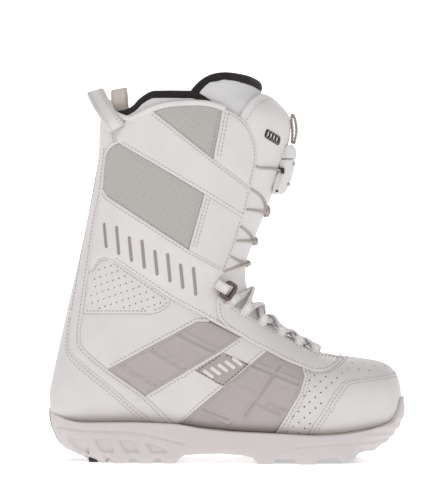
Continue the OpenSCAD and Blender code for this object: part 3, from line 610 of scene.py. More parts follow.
def weave_of(pitch, turn, contrast, rib=1.0):
    """Two sets of threads crossing over and under, pitch mm apart."""
    def make(n, at, uv, colour):
        turned = n.put("VectorRotate", {"Vector": uv, "Angle": math.radians(turn)}).outputs[0]
        xyz = n.parts(turned)
        wave = math.pi * 1000 / pitch
        x, y = n.times(xyz[0], wave), n.times(xyz[1], wave * rib)
        warp, weft = (n.math("ABSOLUTE", n.math("SINE", q)) for q in (x, y))
        over = n.math("GREATER_THAN", n.times(n.math("COSINE", x), n.math("COSINE", y)), 0.0)
        cross = n.put("Mix", {0: over, 2: warp, 3: weft}).outputs[0]
        fuzz = n.noise(at, 0.5)
        height = n.plus(cross, n.times(fuzz, 0.35))
        threads = n.math("SMOOTH_MIN", cross, 1.0, 0.1)
        tint = n.mixed(threads, shade(colour, 1 - contrast), shade(colour, 1.05))
        tint = n.mixed(n.times(n.noise(at, 18.0), 0.25), tint, shade(colour, 0.86))
        return tint, height, fuzz
    return make


def cord_of(pitch, contrast):
    """Braided or ribbed thread: slanted strands along the piece's length, which its UV gives."""
    def make(n, at, uv, colour):
        xyz = n.parts(uv)
        wave = 2 * math.pi * 1000 / pitch
        a, b = (n.math("SINE", n.times(n.math(way, xyz[0], xyz[1]), wave)) for way in ("ADD", "SUBTRACT"))
        strands = n.math("MULTIPLY_ADD", n.math("MAXIMUM", a, b), 0.5, 0.5)
        fuzz = n.noise(at, 0.45)
        tint = n.mixed(strands, shade(colour, 1 - contrast), shade(colour, 1.06))
        return tint, n.plus(strands, n.times(fuzz, 0.3)), fuzz
    return make


def cast_of(size, wear=0.25):
    """Moulded or cast surface with fine texture and worn high spots."""
    def make(n, at, uv, colour):
        fine, broad = n.noise(at, size, 4.0), n.noise(at, 9.0, 4.0)
        edge = n.times(n.math("SUBTRACT", n.put("NewGeometry").outputs["Pointiness"], 0.5), 6.0)
        worn = n.put("Clamp", {0: n.times(edge, wear)}).outputs[0]
        tint = n.mixed(n.times(broad, 0.6), shade(colour, 1.04), shade(colour, 0.9))
        return n.mixed(worn, tint, shade(colour, 1.5)), fine, broad
    return make


LEATHER = material("white_leather", (218, 214, 213), 0.50, grain_of(1.1), 0.10, Sheen_Weight=0.05)
SMOOTH_LEATHER = material("smooth_leather", (222, 218, 217), 0.44, grain_of(0.8), 0.06)
RIBBED = material("ribbed_leather", (181, 172, 171), 0.52, grain_of(1.2), 0.12)
TEXTILE = material("grey_textile", (190, 185, 181), 0.82, weave_of(2.3, -20, 0.30), 0.32, Sheen_Weight=0.3)
# Grey-beige thread, its colour darkened further to paint the shade of the needle holes along each stitch
SHADE_DARKENED_THREAD = material("thread", (176, 166, 162), 0.7, cord_of(0.5, 0.15), 0.05)
DARK_THREAD = material("dark_thread", (98, 84, 82), 0.7, cord_of(0.5, 0.2), 0.05)
# Dark grey for the walls and floor of each perforation: painted shade inside the holes
PAINTED_HOLE_SHADE = material("hole_painted_shade", (134, 124, 122), 0.9, cast_of(0.6, 0.0), 0.02)
TONGUE_SKIN = material("tongue_skin", (224, 220, 219), 0.48, grain_of(1.0), 0.08)
SOLE_RUBBER = material("sole_rubber", (208, 201, 201), 0.58, cast_of(0.5, 0.05), 0.05)
TREAD_RUBBER = material("tread_rubber", (42, 38, 38), 0.62, cast_of(0.6, 0.15), 0.05)
PLASTIC = material("lock_plastic", (222, 219, 219), 0.34, cast_of(0.4, 0.05), 0.02)
BRONZE = material("ring_metal", (104, 92, 87), 0.34, cast_of(0.35, 0.5), 0.03, Metallic=0.75)
STEEL = material("spring_steel", (175, 175, 178), 0.3, cast_of(0.3, 0.2), 0.02, Metallic=1.0)
DARK_METAL = material("dark_metal", (62, 54, 53), 0.42, cast_of(0.3, 0.4), 0.02, Metallic=0.6)
BINDING = material("binding_black", (30, 22, 22), 0.88, weave_of(0.9, 35, 0.35), 0.12, Sheen_Weight=0.08)
LINER_CLOTH = material("liner_cloth", (222, 220, 222), 0.9, weave_of(1.3, 8, 0.14), 0.18, Sheen_Weight=0.4)
LINING = material("lining_dark", (78, 70, 68), 0.95, weave_of(1.6, 45, 0.3), 0.2, Sheen_Weight=0.5)
WEBBING = material("webbing", (228, 224, 222), 0.7, weave_of(1.5, 0, 0.07, 0.6), 0.12, Sheen_Weight=0.2)
BEIGE_WEBBING = material("beige_webbing", (226, 215, 205), 0.82, weave_of(1.3, 0, 0.12, 0.6), 0.2)
HANDLE_WEBBING = material("handle_webbing", (176, 165, 156), 0.8, weave_of(1.1, 0, 0.25, 0.6), 0.2)
UPPER_LACE = material("upper_lace", (186, 178, 172), 0.75, cord_of(1.1, 0.3), 0.12)
LOWER_LACE = material("lower_lace", (228, 224, 223), 0.75, cord_of(1.5, 0.16), 0.16)
LABEL = material("label_black", (52, 44, 44), 0.55, weave_of(0.7, 12, 0.3), 0.05)
PATCH_GREY = material("patch_grey", (176, 167, 163), 0.5, grain_of(0.9), 0.08)
BAR_GREY = material("bar_grey", (150, 143, 140), 0.42, cast_of(0.5, 0.1), 0.03)
BAR_PALE = material("bar_pale", (224, 220, 216), 0.5, cast_of(0.5, 0.1), 0.03)
FOAM = material("board_foam", (205, 200, 190), 0.9, cast_of(0.8, 0.0), 0.05)


# Camera, light and floor
def in_scene(name, data, at):
    obj = bpy.data.objects.new(name, data)
    obj.location = at
    bpy.context.scene.collection.objects.link(obj)
    return obj


camera = in_scene("camera", bpy.data.cameras.new("camera"), (-0.0042, -2.444, 0.1844))
camera.rotation_euler = (math.radians(90), 0, 0)
camera.data.lens, camera.data.sensor_width = 200, 36
camera.data.clip_end = 60
bpy.context.scene.camera = camera
bpy.context.scene.view_settings.view_transform = "Standard"

world = bpy.data.worlds.new("studio")
bpy.context.scene.world = world
world.use_nodes = True
sky = Nodes(world.node_tree)
upward = sky.parts(sky.put("TexCoord").outputs["Generated"])["Z"]
fall = sky.put("MapRange", {0: upward, 1: 0.10, 2: 0.42, 3: 1.0, 4: 0.34}, interpolation_type="SMOOTHSTEP")
backdrop = world.node_tree.nodes["Background"].inputs        # white round the horizon, dimmer overhead
backdrop[0].default_value = (1.0, 0.997, 0.994, 1)
world.node_tree.links.new(fall.outputs[0], backdrop[1])

BOOT = Vector((0, 0, 0.17))
for name, at, size, power in (("key", (-0.9, -1.7, 1.9), 0.9, 15.5), ("fill", (1.9, -1.3, 0.9), 1.6, 3),
                              ("back", (0.2, 1.6, 1.7), 1.5, 6)):
    light = bpy.data.lights.new(name, "AREA")
    light.shape, light.size, light.energy = "DISK", size, power
    in_scene(name, light, at).rotation_euler = (BOOT - Vector(at)).to_track_quat("-Z", "Y").to_euler()

SWEEP_R, WALL_Y = 0.9, 2.4               # the floor curves up into a wall behind the boot, in metres
SWEEP = [(-3.2, 0.0), (WALL_Y, 0.0)] + [(WALL_Y + SWEEP_R * math.sin(a), SWEEP_R - SWEEP_R * math.cos(a))
                                        for a in np.linspace(0.1, math.pi / 2, 12)] + [(3.3, 3.2)]
sweep = Build()
sweep.add([(x * 1000, y * 1000, z * 1000) for y, z in SWEEP for x in (-4.5, 4.5)], grid_faces(len(SWEEP), 2))
PALE = material("pale_floor", (250, 250, 250), 0.8, cast_of(40.0, 0.0), 0.01)
glow = PALE.node_tree.nodes["Principled BSDF"].inputs
glow["Emission Color"].default_value, glow["Emission Strength"].default_value = (1, 1, 1, 1), 0.5
floor = sweep.make("floor", [PALE])

# Lines that several panels share, in side view
EYE = smooth([(-0.7, 306), (11.7, 299), (19.6, 290), (24.9, 277), (26.2, 265), (24.4, 253), (21.3, 239),
              (17.4, 221), (12.5, 205.5), (8.6, 192.5), (3.7, 179), (-0.7, 168.5), (-4.2, 158.5),
              (-4.0, 149), (2, 141), (11.7, 133.5), (22, 126.5), (34.5, 118.5), (48.5, 110.5),
              (64.5, 101.5), (80, 94.5), (91, 92), (101.5, 90)])
RIM = smooth([(-104, 312), (-100, 304), (-92, 299.5), (-84, 298), (-76, 301), (-66, 305.5), (-54, 309),
              (-41, 310.6), (-23.5, 311), (-12, 309.5), (-0.7, 306)])
SOLE_TOP = smooth([(-157, 46.5), (-150, 41.5), (-138, 37), (-123, 35), (-80, 35.5), (-44, 34),
                   (-23, 30.5), (6, 27.7), (38, 26.5), (75, 24.8), (100, 26), (124, 29.8), (141, 34.2),
                   (147, 38), (151.5, 48), (153.5, 55.5)])
UNDER_LIP = SOLE_TOP - [0, 2.5]
STAY_RIGHT = smooth([(-105, 276), (-107.5, 250), (-108.5, 238), (-115, 206), (-120, 170), (-125.5, 129),
                     (-127.5, 110), (-124, 99), (-103, 81), (-70, 57), (-46, 32)])
STAY_LEFT = smooth([(-112, 276), (-114.5, 246), (-124, 196), (-135, 125), (-136.5, 105), (-132, 93),
                    (-100, 66), (-64, 34)])
STRAP_TOP, STRAP_LOW = [(-66, 305.5), (-11.5, 262.5), (21, 238)], [(14.7, 212), (-19, 232.8), (-94, 277)]
BAND_TOP = [(-108.5, 238), (-104.5, 231), (-32.7, 184.5), (-2.5, 168)]
BAND_LOW = [(12.5, 109.5), (-14.7, 124), (-48, 142), (-100, 177)]
STAY = smooth([(-9, 141), (-8.4, 132), (-6.5, 124.5), (1, 116.5), (12.5, 109.5), (23, 103), (35, 97.5),
               (50, 89.5), (65, 83.5), (72, 80.5), (79, 79.5), (86, 80.2), (90, 81.5), (96, 85),
               (103.5, 91.2)])
CAP = smooth([(146.8, 78.2), (143, 77.6), (126, 75.2), (112.9, 73.9), (103, 71.8), (98, 67.5), (90, 57),
              (82, 44), (75, 33.5), (70, 22.5)])
VENT_END = [(-48, 142), (-49.5, 137.5), (-53, 134), (-59, 130.5), (-66, 129)]
VENT_AREA = np.array([(-100, 177)] + VENT_END + [(-125.5, 129), (-120.3, 165), (-112, 176)], float)
VAMP_AREA = np.array([(103.5, 92), (90, 81.5), (79, 79.5), (65, 83.5), (67, 76), (62.5, 61), (50, 40),
                      (40, 22.5), (70, 20), (75, 33.5), (82, 44), (90, 57), (98, 67.5), (103, 71.8),
                      (112.9, 73.9), (126, 75.2), (143, 77.6), (143, 86), (122, 89)], float)
WINDOW_CORNER = [(-106.5, 264), (-105.4, 268), (-103.3, 271.5), (-98.8, 275.2), (-94, 277)]
PATCH = [(-3.3, 95.9), (19.6, 85.8), (-3.3, 66.4), (-27.9, 80.1)]
REAR_RIBS = [[(-92.2, 85.8), (-58.7, 65.6)], [(-67.5, 99.9), (-32.3, 78.8)],
             [(-44.7, 113.1), (-5.9, 94.6)]]
FRONT_RIBS = [[(2.9, 66.4), (51.3, 47.1)], [(22.2, 84.9), (61.8, 69.1)], [(-20.9, 46.2), (1.1, 37.4)],
              [(26.6, 52.4), (45.1, 43.6)], [(46.9, 85.8), (31, 62.9), (16.1, 41.8)]]


PERFORATED = 30                          # rows and columns of holes tried each way from a lattice's origin


def lattice(origin, a, b, area, margin, radius):
    """Perforations x, z, radius on a lattice inside an area."""
    edge = resample(area, 1.0, True)
    out = []
    for i in range(-PERFORATED, PERFORATED + 1):
        for j in range(-PERFORATED, PERFORATED + 1):
            p = np.array(origin) + i * np.array(a) + j * np.array(b)
            if inside(p[None], area)[0] and nearest(p[None], edge)[0] > margin:
                out.append((p[0], p[1], radius))
    return out


def ridges(lines):
    """Moulded ribs: two ridges with a groove between them along each line."""
    def relief(xz, far):
        d = np.full(len(xz), 1e3)            # distance to the nearest of the lines
        for a, b in (map(np.array, pair) for line in lines for pair in zip(line[:-1], line[1:])):
            t = np.clip(((xz - a) @ (b - a)) / ((b - a) @ (b - a)), 0, 1)
            d = np.minimum(d, np.linalg.norm(xz - a - t[:, None] * (b - a), axis=1))
        fade = np.clip(far / 3, 0, 1)
        return fade * (1.0 * np.exp(-((d - 2.5) / 1.2) ** 2) - 1.1 * np.exp(-(d / 1.0) ** 2))
    return relief


def patch_mark(xz, far):
    """A raised inner diamond, in place of a badge."""
    return 0.4 * np.exp(-((far - 6.0) / 0.8) ** 2)


S, D = (2.6,), (2.6, 5.6)                # one row of stitches, or two
WHITE, SLEEK = ("white_leather", [LEATHER, SHADE_DARKENED_THREAD]), ("white_leather", [SMOOTH_LEATHER, SHADE_DARKENED_THREAD])
VENTED, RIBS = ("white_leather", [LEATHER, SHADE_DARKENED_THREAD, PAINTED_HOLE_SHADE]), ("ribbed_leather", [RIBBED, SHADE_DARKENED_THREAD])
GREY = ("grey_textile", [TEXTILE, SHADE_DARKENED_THREAD])
for name, nodes, look, edges, options in (
    ("collar_panel", ("collar_panels",), GREY,
     [(follow(RIM, (-66, 305.5), (-3.2, 307)), S), ([(-3.2, 307), (-11.5, 262.5)], S),
      ([(-11.5, 262.5), (-66, 305.5)], ())], {"top": 0.8, "puff": 0.5}),
    ("front_panel", ("front_panels",), WHITE,
     [([(-3.2, 307), (-0.7, 306)], ()), (follow(EYE, (-0.7, 306), (21, 238)), S),
      ([(21, 238), (-11.5, 262.5)], ()), ([(-11.5, 262.5), (-3.2, 307)], D)], {}),
    ("diagonal_strap", ("diagonal_straps", "cuff_backing"), WHITE,
     [(STRAP_TOP, S), (follow(EYE, (21, 238), (14.7, 212)), S), (STRAP_LOW, S),
      ([(-94, 277), (-97, 280.5), (-97.5, 284), (-97, 288.5), (-91, 294), (-84, 298)], ()),
      (follow(RIM, (-84, 298), (-66, 305.5)), ())], {"top": -0.25}),
    ("side_window", ("side_windows",), GREY,
     [([(-94, 277), (-19, 232.8)], ()), ([(-19, 232.8), (-32.7, 184.5)], ()), ([(-32.7, 184.5),
      (-104.5, 231)], ()),
      ([(-104.5, 231), (-108.5, 238), (-107.8, 252), (-106.5, 264)], ()), (WINDOW_CORNER, ())],
     {"top": 1.0, "puff": 0.6}),
    ("quarter_upper", ("quarter_upper",), WHITE,
     [([(-19, 232.8), (14.7, 212)], ()), (follow(EYE, (14.7, 212), (-2.5, 165)), S),
      ([(-2.5, 168), (-32.7, 184.5)], ()), ([(-32.7, 184.5), (-19, 232.8)], D)], {}),
    ("quarter_band", ("quarter_bands",), SLEEK,
     [(BAND_TOP, S), (follow(EYE, (-2.5, 165), (-4.1, 151)), S), ([(-4.5, 150), (-9, 141)], ()),
      (follow(STAY, (-9, 141), (12.5, 109.5)), ()), (BAND_LOW, S),
      ([(-100, 177), (-106, 178.3), (-112, 176), (-117, 168), (-120.3, 165)], ()),
      (follow(STAY_RIGHT, (-120.3, 165), (-108.5, 238)), ())], {"top": -0.1}),
    ("vent_panel", ("vent_panels",), VENTED,
     [([(-100, 177), (-48, 142)], S), (VENT_END, S), ([(-66, 129), (-125.5, 129)], S),
      (follow(STAY_RIGHT, (-125.5, 129), (-120.3, 165)), ()),
      ([(-120.3, 165), (-117, 168), (-112, 176), (-106, 178.3), (-100, 177)], S)],
     {"top": 0.35, "holes": lattice((-116.8, 172.0), (5.1, 1.76), (1.06, -6.34), VENT_AREA, 4.6, 0.62)}),
    ("backstay", ("backstay_upper", "backstay_lower", "flex_shell"), WHITE,
     [(follow(STAY_RIGHT, (-105, 276), (-46, 32)), S), ([(-46, 31), (-64, 32)], ()),
      (follow(STAY_LEFT, (-64, 34), (-112, 276)), ()), ([(-112, 276), (-105, 276)], ())], {"top": -0.45}),
    ("quarter_lower", ("quarter_lower", "foot_backing"), WHITE,
     [([(-125.5, 129), (-66, 129)], ()), (VENT_END[::-1], ()), ([(-48, 142), (-14.7, 124)], ()),
      ([(-14.7, 124), (-15, 122.5), (-25.5, 122.5), (-103, 81)], S),
      (follow(STAY_RIGHT, (-103, 81), (-125.5, 129)), ())], {}),
    ("rib_panel_rear", ("rib_panels_rear",), RIBS,
     [([(-103, 81), (-25.5, 122.5)], S), ([(-25.5, 122.5), (-15, 122.5)], ()), ([(-15, 122.5),
      (12.5, 109)], S),
      ([(12.5, 109), (-6, 97), (-71, 58)], S), (follow(STAY_RIGHT, (-71, 58), (-103, 81)), ())],
     {"top": 0.5, "step": 0.9, "relief": ridges(REAR_RIBS)}),
    ("midfoot_band", ("midfoot_bands",), SLEEK,
     [(follow(STAY, (12.5, 109.5), (35, 97.5)), ()), ([(35, 97.5), (-23.5, 49), (-43, 31)], S),
      ([(-43, 31), (-46, 31)], ()), (follow(STAY_RIGHT, (-46, 32), (-71, 58)), ()),
      ([(-71, 58), (-6, 97), (12.5, 109.5)], S)], {}),
    ("midfoot_patch", ("midfoot_patches",), ("grey_textile", [PATCH_GREY, DARK_THREAD]),
     [(PATCH + PATCH[:1], (1.2,))], {"top": -0.7, "thick": 0.4, "round_edge": 0.5, "puff": 0.2, "step": 1.3,
                                    "relief": patch_mark}),
    ("rib_panel_front", ("rib_panels_front",), RIBS,
     [(follow(STAY, (35, 97.5), (65, 83.5)), ()), ([(65, 83.5), (67, 76), (62.5, 61), (53, 45),
      (40, 23.5)], S),
      (follow(UNDER_LIP, (40, 23.5), (-43, 31)), ()), ([(-43, 31), (-23.5, 49), (35, 97.5)], S)],
     {"top": 0.5, "step": 1.0, "relief": ridges(FRONT_RIBS)}),
    ("vamp_eyestay", ("vamp_eyestays",), SLEEK,
     [(follow(STAY, (-9, 141), (103.5, 91.2)), S), (follow(EYE, (101.5, 90), (-4.1, 151)), D),
      ([(-4.5, 150), (-9, 141)], ())], {"top": -0.5}),
    ("vamp_panel", ("vamp",), VENTED,
     [(follow(STAY, (103.5, 91.2), (65, 83.5)), S), ([(65, 83.5), (67, 76), (62.5, 61), (53, 45),
      (40, 22.5)], D),
      (follow(UNDER_LIP, (40, 23.5), (70, 22.5)), ()), (follow(CAP, (70, 22.5), (146.8, 78.2)), ())],
     {"wrap": 0, "holes": lattice((80.8, 61.6), (9.68, -1.15), (4.75, 4.05), VAMP_AREA, 3.6, 0.66)}),
    ("toe_cap_panel", ("toe_cap",), SLEEK,
     [(follow(CAP, (146.8, 78.2), (70, 22.5)), D), (follow(UNDER_LIP, (70, 22.5), (153.5, 53)), ())],
     {"wrap": 0, "top": -0.4, "tip": True}),
    ("heel_counter_panel", ("heel_counter",), WHITE,
     [([(-141, 130), (-134.4, 130)], ()), (follow(STAY_LEFT, (-134.4, 130), (-64, 34)), D),
      (follow(UNDER_LIP, (-64, 32), (-157, 44)), ())], {"wrap": 180}),
    ("back_panel_skin", ("back_panel",), WHITE,
     [([(-141, 130), (-134.4, 130)], S), (follow(STAY_LEFT, (-134.4, 130), (-112, 276)), S)],
     {"wrap": 180, "top": -0.1}),
    ("collar_back_skin", ("collar_back",), WHITE,
     [([(-112.3, 276), (-110.6, 268), (-107.4, 260), (-106.5, 264)], ()), (WINDOW_CORNER, S),
      ([(-94, 277), (-97, 280.5), (-97.5, 284), (-97, 288.5), (-91, 294), (-84, 298)], S),
      (follow(RIM, (-84, 298), (-104, 312)), S)], {"wrap": 180, "top": -0.3}),
    ("tongue_shell", ("outer_tongue", "flex_tongue", "lower_tongue"),
     ("white_leather", [TONGUE_SKIN, SHADE_DARKENED_THREAD]),
     [(smooth([(43.4, 316.6), (41.2, 317.2), (36.3, 318.6), (32.8, 318), (27.5, 315), (22.2, 310),
               (17.8, 304), (13.4, 296), (8, 278)]), (4.4,)),
      (smooth([(8, 278), (4, 262), (0, 240), (-5, 215), (-10, 190), (-14, 170), (-16, 150), (-8, 134),
               (10, 121), (30, 108.5), (60, 92), (80, 86), (92, 86), (98, 88.5), (103, 91.3)]), ())],
     {"wrap": 0, "top": 2.1, "thick": 5.8, "puff": 0.8}),
):
    panel(name, nodes, *look, edges, **options)


# Sole: a wall of rows under the plan outline, closed by the bottom
PLAN = np.array([[0, 0, 0], [0.006, 12, 0], [0.03, 27, 0], [0.085, 37, 0], [0.17, 43, 0], [0.28, 45.5, -0.2],
                 [0.40, 46, -0.5], [0.52, 49, -0.6], [0.63, 54, -0.4], [0.74, 57.5, 0], [0.83, 56.5, 0.6],
                 [0.90, 51, 1.6], [0.955, 40, 2.6], [0.985, 26, 3.4], [0.997, 12, 4], [1, 0, 4]])
SOLE_LENGTH, SOLE_WIDER = 313.0, 58.0 / 57.5
HEEL_CURVE = np.array([(2, -124), (4.6, -129.6), (8.4, -141.5), (13.6, -145.9), (19, -149.4),
                       (29.5, -153.8), (38, -155.8), (46, -156.5)], float)
TOE_CURVE = np.array([(8.4, 127.5), (10.8, 134), (14.5, 137), (16.5, 141.5), (20.5, 143.5), (23, 147.5),
                      (27, 148.5), (30, 152), (34.5, 152.8), (38, 155.5), (46.5, 156.5),
                      (60, 155.5)], float)
LUGS = np.array([(-145, 9.5), (-141.5, 8.4), (-129.6, 4.6), (-123, 4.2), (-119.5, 0), (-107.5, 0),
                 (-104.5, 4.4), (-100.5, 4.4), (-97.5, 0), (-86.5, 0), (-83, 4.4), (-79, 4.4), (-75.5, 0),
                 (-65, 0), (-61.5, 4.4), (-57.5, 4.4), (-54, 0), (-44.5, 0), (-41, 4.5), (-37, 7),
                 (-23.5, 8.4), (-6, 8.7), (11.7, 7.6), (22.5, 5.7), (26, 0), (39.5, 0), (43, 4.4),
                 (58, 4.4), (61.5, 0), (76.5, 0), (80, 5), (95.5, 5.4), (99, 2.2), (110, 3.4), (115, 9),
                 (124, 10.3), (127.5, 8.4), (134, 10.8)], float)
POCKETS = [rounded(p, 3.2, 0.6) for p in (
    [(-140, 21.5), (-121.5, 21.3), (-116.5, 9.0), (-126, 9.2), (-133.5, 13.5)],
    [(-116.5, 21.5), (-102.5, 21.8), (-95.5, 9.4), (-108.5, 9.0)],
    [(-94.5, 20.8), (-80.5, 20.2), (-74.5, 9.2), (-88, 9.0)],
    [(-71.5, 18.2), (-60, 16.6), (-49.5, 11.0), (-53, 9.0), (-66, 9.0)])]
CREASES = [                              # line, depth and width
    (smooth([(-147, 30.4), (-120, 27.9), (-88, 27.2), (-67, 24.6), (-50, 20.5), (-37, 17.4)]), 1.3, 1.0),
    (smooth([(60, 14.5), (80, 16.5), (105, 17.4), (128, 18.5), (141, 20.0)]), 0.8, 0.8)]
HALF_SOLE = SOLE_LENGTH / 2
# Rows of the sole's points: mm inwards and down from its top edge, and inwards and up from the wall's foot
TOP_ROWS = ((9.0, 1.2), (4.0, 0.6), (1.6, 0.15), (0.6, 0.35), (0.12, 1.0))
BOTTOM_ROWS = ((1.2, 0.0), (4.0, 0.0), (10.4, 0.0), (10.9, 2.6))
WALL_TOP, WALL_LEVELS = 1.8, 34              # mm from the top edge down to the wall, and the wall's rows
STRIP_TURN, STRIP_TOP = -0.968, 43           # black strip at the heel: how squarely it faces back, its top


def sole_plan():
    """Plan outline of the sole, and its outward direction at each point."""
    half = between(PLAN, np.linspace(0, len(PLAN) - 1, 900))
    x = (half[:, 0] - 0.5) * SOLE_LENGTH
    one, two = (np.stack([x, half[:, 2] + side * half[:, 1] * SOLE_WIDER], 1) for side in (-1, 1))
    plan = resample(np.vstack([one, two[::-1][1:-1]]), 1.15, True)
    t = tangents(plan, True, 2)
    return plan, np.stack([t[:, 1], -t[:, 0]], 1)


def wall_level(x, top, f):
    """The wall at f of the way down: x drawn in to the ends' profiles, z, and the lowest z there."""
    start = top - WALL_TOP
    z = start - start * f
    w = np.clip((np.abs(x) - 92) / 60, 0, 1)
    w = w * w * (3 - 2 * w)
    for _ in range(3):
        limit = np.where(x < 0, np.interp(z, *HEEL_CURVE.T), np.interp(z, *TOE_CURVE.T))
        drawn = x + (limit - np.where(x < 0, -HALF_SOLE, HALF_SOLE)) * w
        low = np.interp(drawn, *LUGS.T)
        z = start - (start - low) * f
    return drawn, z, low


def wall_dent(xz, f, height, side):
    """How far the wall is sunk: pockets and creases on the long sides, its foot and its full middle."""
    dent = np.zeros(len(xz))
    for loop in POCKETS:
        d = np.where(inside(xz, loop), nearest(xz, loop), 0)
        dent += 2.3 * (1 - np.exp(-(d / 1.1) ** 2)) * side
    for line, deep, width in CREASES:
        dent += deep * np.exp(-(nearest(xz, line) / width) ** 2) * side
    foot = np.clip((6.0 - height * (1 - f)) / 6.0, 0, 1)
    return dent + 0.9 * foot ** 2 - 0.5 * math.sin(math.pi * f) * np.clip((height + WALL_TOP) / 40, 0, 1)


def outsole_shell():
    """The outsole: rows of points from its top edge down the wall, then inwards under it."""
    plan, out = sole_plan()
    n, side = len(plan), np.abs(out[:, 1]) > 0.25
    top = np.interp(plan[:, 0], *SOLE_TOP.T)
    rows = [(plan - out * by, top - drop) for by, drop in TOP_ROWS]
    for f in np.arange(WALL_LEVELS) / (WALL_LEVELS - 1):
        x, z, low = wall_level(plan[:, 0], top, f)
        dent = wall_dent(np.stack([x, z], 1), f, top - WALL_TOP - low, side)
        rows.append((np.stack([x, plan[:, 1]], 1) - out * dent[:, None], z))
    base, foot = rows[-1]
    rows += [(base - out * by, foot + rise) for by, rise in BOTTOM_ROWS]
    rows.append((np.stack([base[:, 0], np.full(n, 1.0)], 1), np.maximum(foot, 2.6) + 0.4))
    points = np.concatenate([np.column_stack([p, z]) for p, z in rows])
    build = Build()
    build.add(points, grid_faces(len(rows), n, True))
    first = len(TOP_ROWS) * n
    build.kinds = [int(out[f[0] % n, 0] < STRIP_TURN and first <= f[0] < first + WALL_LEVELS * n
                       and points[f[0], 2] < STRIP_TOP) for f in build.faces]
    place(build.make("outsole_shell", [SOLE_RUBBER, TREAD_RUBBER]), "sole_rubber", "outsole")


def tread(name, start, end):
    """A black insert under the sole, from start to end along x, with grooves along its length."""
    across_by = np.linspace(-1, 1, 41)
    x = np.arange(start, end, 0.8)
    low = np.maximum(np.interp(x, *LUGS.T) + 0.05, 0.02)
    plan = between(PLAN, np.linspace(0, len(PLAN) - 1, 200))
    half = 0.86 * np.interp(x, (plan[:, 0] - 0.5) * SOLE_LENGTH, plan[:, 1]) - 5.5
    half = half * np.minimum(1, np.minimum(x - start, end - x) / 2.4 + 0.72)
    y = half[:, None] * across_by
    groove = 0.8 * (np.abs((y % 9.0) - 4.5) < 0.8)
    under = np.stack(np.broadcast_arrays(x[:, None], y, low[:, None] + groove), -1)
    over = np.stack(np.broadcast_arrays(x[:, None], y[:, ::-1], np.maximum(low + 2.2, 6.6)[:, None]), -1)
    build = Build()
    build.add(np.concatenate([under, over], 1), rod_faces(len(x), 2 * len(across_by)))
    place(build.make(name + "_rubber", [TREAD_RUBBER]), "tread_rubber", name)


outsole_shell()
tread("tread_heel", -120.6, -43.4)
tread("tread_forefoot", 27.4, 112)
for name, mat in (("midsole", FOAM), ("lasting_board", FOAM), ("shank", STEEL), ("lock_spring", STEEL)):
    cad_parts[name].data.materials.clear()
    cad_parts[name].data.materials.append(mat)


# Tubes, rolls and webbing along a path
def frames(path, up=None, closed=False):
    """Tangents of a path and two directions across it, the first of them near up if that is given."""
    t = tangents(path, closed)
    if up is None:
        a = np.zeros_like(t)
        a[0] = np.cross(t[0], [0.31, 0.17, 0.93])
        for i in range(len(t)):
            a[i] = a[max(0, i - 1)] - (a[max(0, i - 1)] @ t[i]) * t[i]
            a[i] /= np.linalg.norm(a[i])
    else:
        a = up - (up * t).sum(1)[:, None] * t
        a /= np.linalg.norm(a, axis=1)[:, None]
    return t, a, np.cross(t, a)


def tube_points(path, a, b, high, wide):
    """Rings of points about a path, from each ring's half height and half width at every angle."""
    return path[:, None] + high * a[:, None] + wide * b[:, None]


def add_tube(build, path, wide, high, up=None, sides=12, power=2.0, swell=1.0):
    """A closed tube. up is the direction of its height and swell its size, each at every point or for all."""
    path = np.asarray(path, float)
    _, a, b = frames(path, up)
    k = np.arange(sides) * 2 * math.pi / sides
    c, s = bow(np.cos(k), power), bow(np.sin(k), power)
    swell = np.broadcast_to(swell, len(path))[:, None, None]
    ring = tube_points(path, a, b, swell * (high / 2 * c[:, None]), swell * (wide / 2 * s[:, None]))
    uv = np.stack(np.broadcast_arrays(lengths(path)[:, None], k * (wide + high) / 4), -1)
    build.add(ring, rod_faces(len(path), sides), 0, uv.reshape(-1, 2))


BAND_COLUMNS = np.linspace(-1, 1, 9)


def add_band(build, path, wide_dir, width, thick, seams):
    """A strip of webbing along a path, wide_dir giving its width, with stitches at seams inside its edges."""
    t = tangents(path)
    wide_dir = np.broadcast_to(np.asarray(wide_dir, float), path.shape)
    side = wide_dir - (wide_dir * t).sum(1)[:, None] * t
    side /= np.linalg.norm(side, axis=1)[:, None]
    up = np.cross(side, t)
    middle = path[:, None] + side[:, None] * (BAND_COLUMNS * width / 2)[:, None]
    rise = up[:, None] * (thick / 2 * (1 - np.abs(BAND_COLUMNS) ** 8 * 0.75))[:, None]
    ring = np.concatenate([middle + rise, (middle - rise)[:, ::-1]], 1)
    u = np.concatenate([BAND_COLUMNS, BAND_COLUMNS[::-1]]) * width / 2
    uv = np.stack(np.broadcast_arrays(u, lengths(path)[:, None]), -1)
    build.add(ring, rod_faces(len(path), len(u)), 0, uv.reshape(-1, 2))
    for by in seams:
        for way in (-1, 1):
            for face in (-1, 1):
                line = path + side * way * (width / 2 - by) + up * face * thick / 2
                add_thread(build, line, up * face, 3.0, 2.1, 0.26)


# Rolled rim round the shell's collar, and the bindings of the liner and the tongues
def edge_roll(name, line_xz, depth, wide, high, mat, slot, wrap, *nodes):
    """A roll along an edge, run on to the centre line at the angle wrap and back along the other side."""
    vu = to_shell(line_xz)
    if abs(vu[0, 1] - wrap) < abs(vu[-1, 1] - wrap):
        vu = vu[::-1]
    vu = spaced(np.vstack([vu, [[vu[-1, 0], wrap]]]), OUTLINE_STEP)
    vu = np.vstack([vu, across(vu[::-1], wrap)[1:]]) * [1, -1]
    build = Build()
    path = on_shell(vu[:, 0], vu[:, 1], depth)
    add_tube(build, path, wide, high, slopes(vu)[3], sides=14, power=2.3)
    place(build.make(name, [mat]), slot, *nodes)


edge_roll("collar_rim", np.vstack([[(-107, 314)], RIM]), 1.5, 5.4, 5.6, SMOOTH_LEATHER, "white_leather", 180)

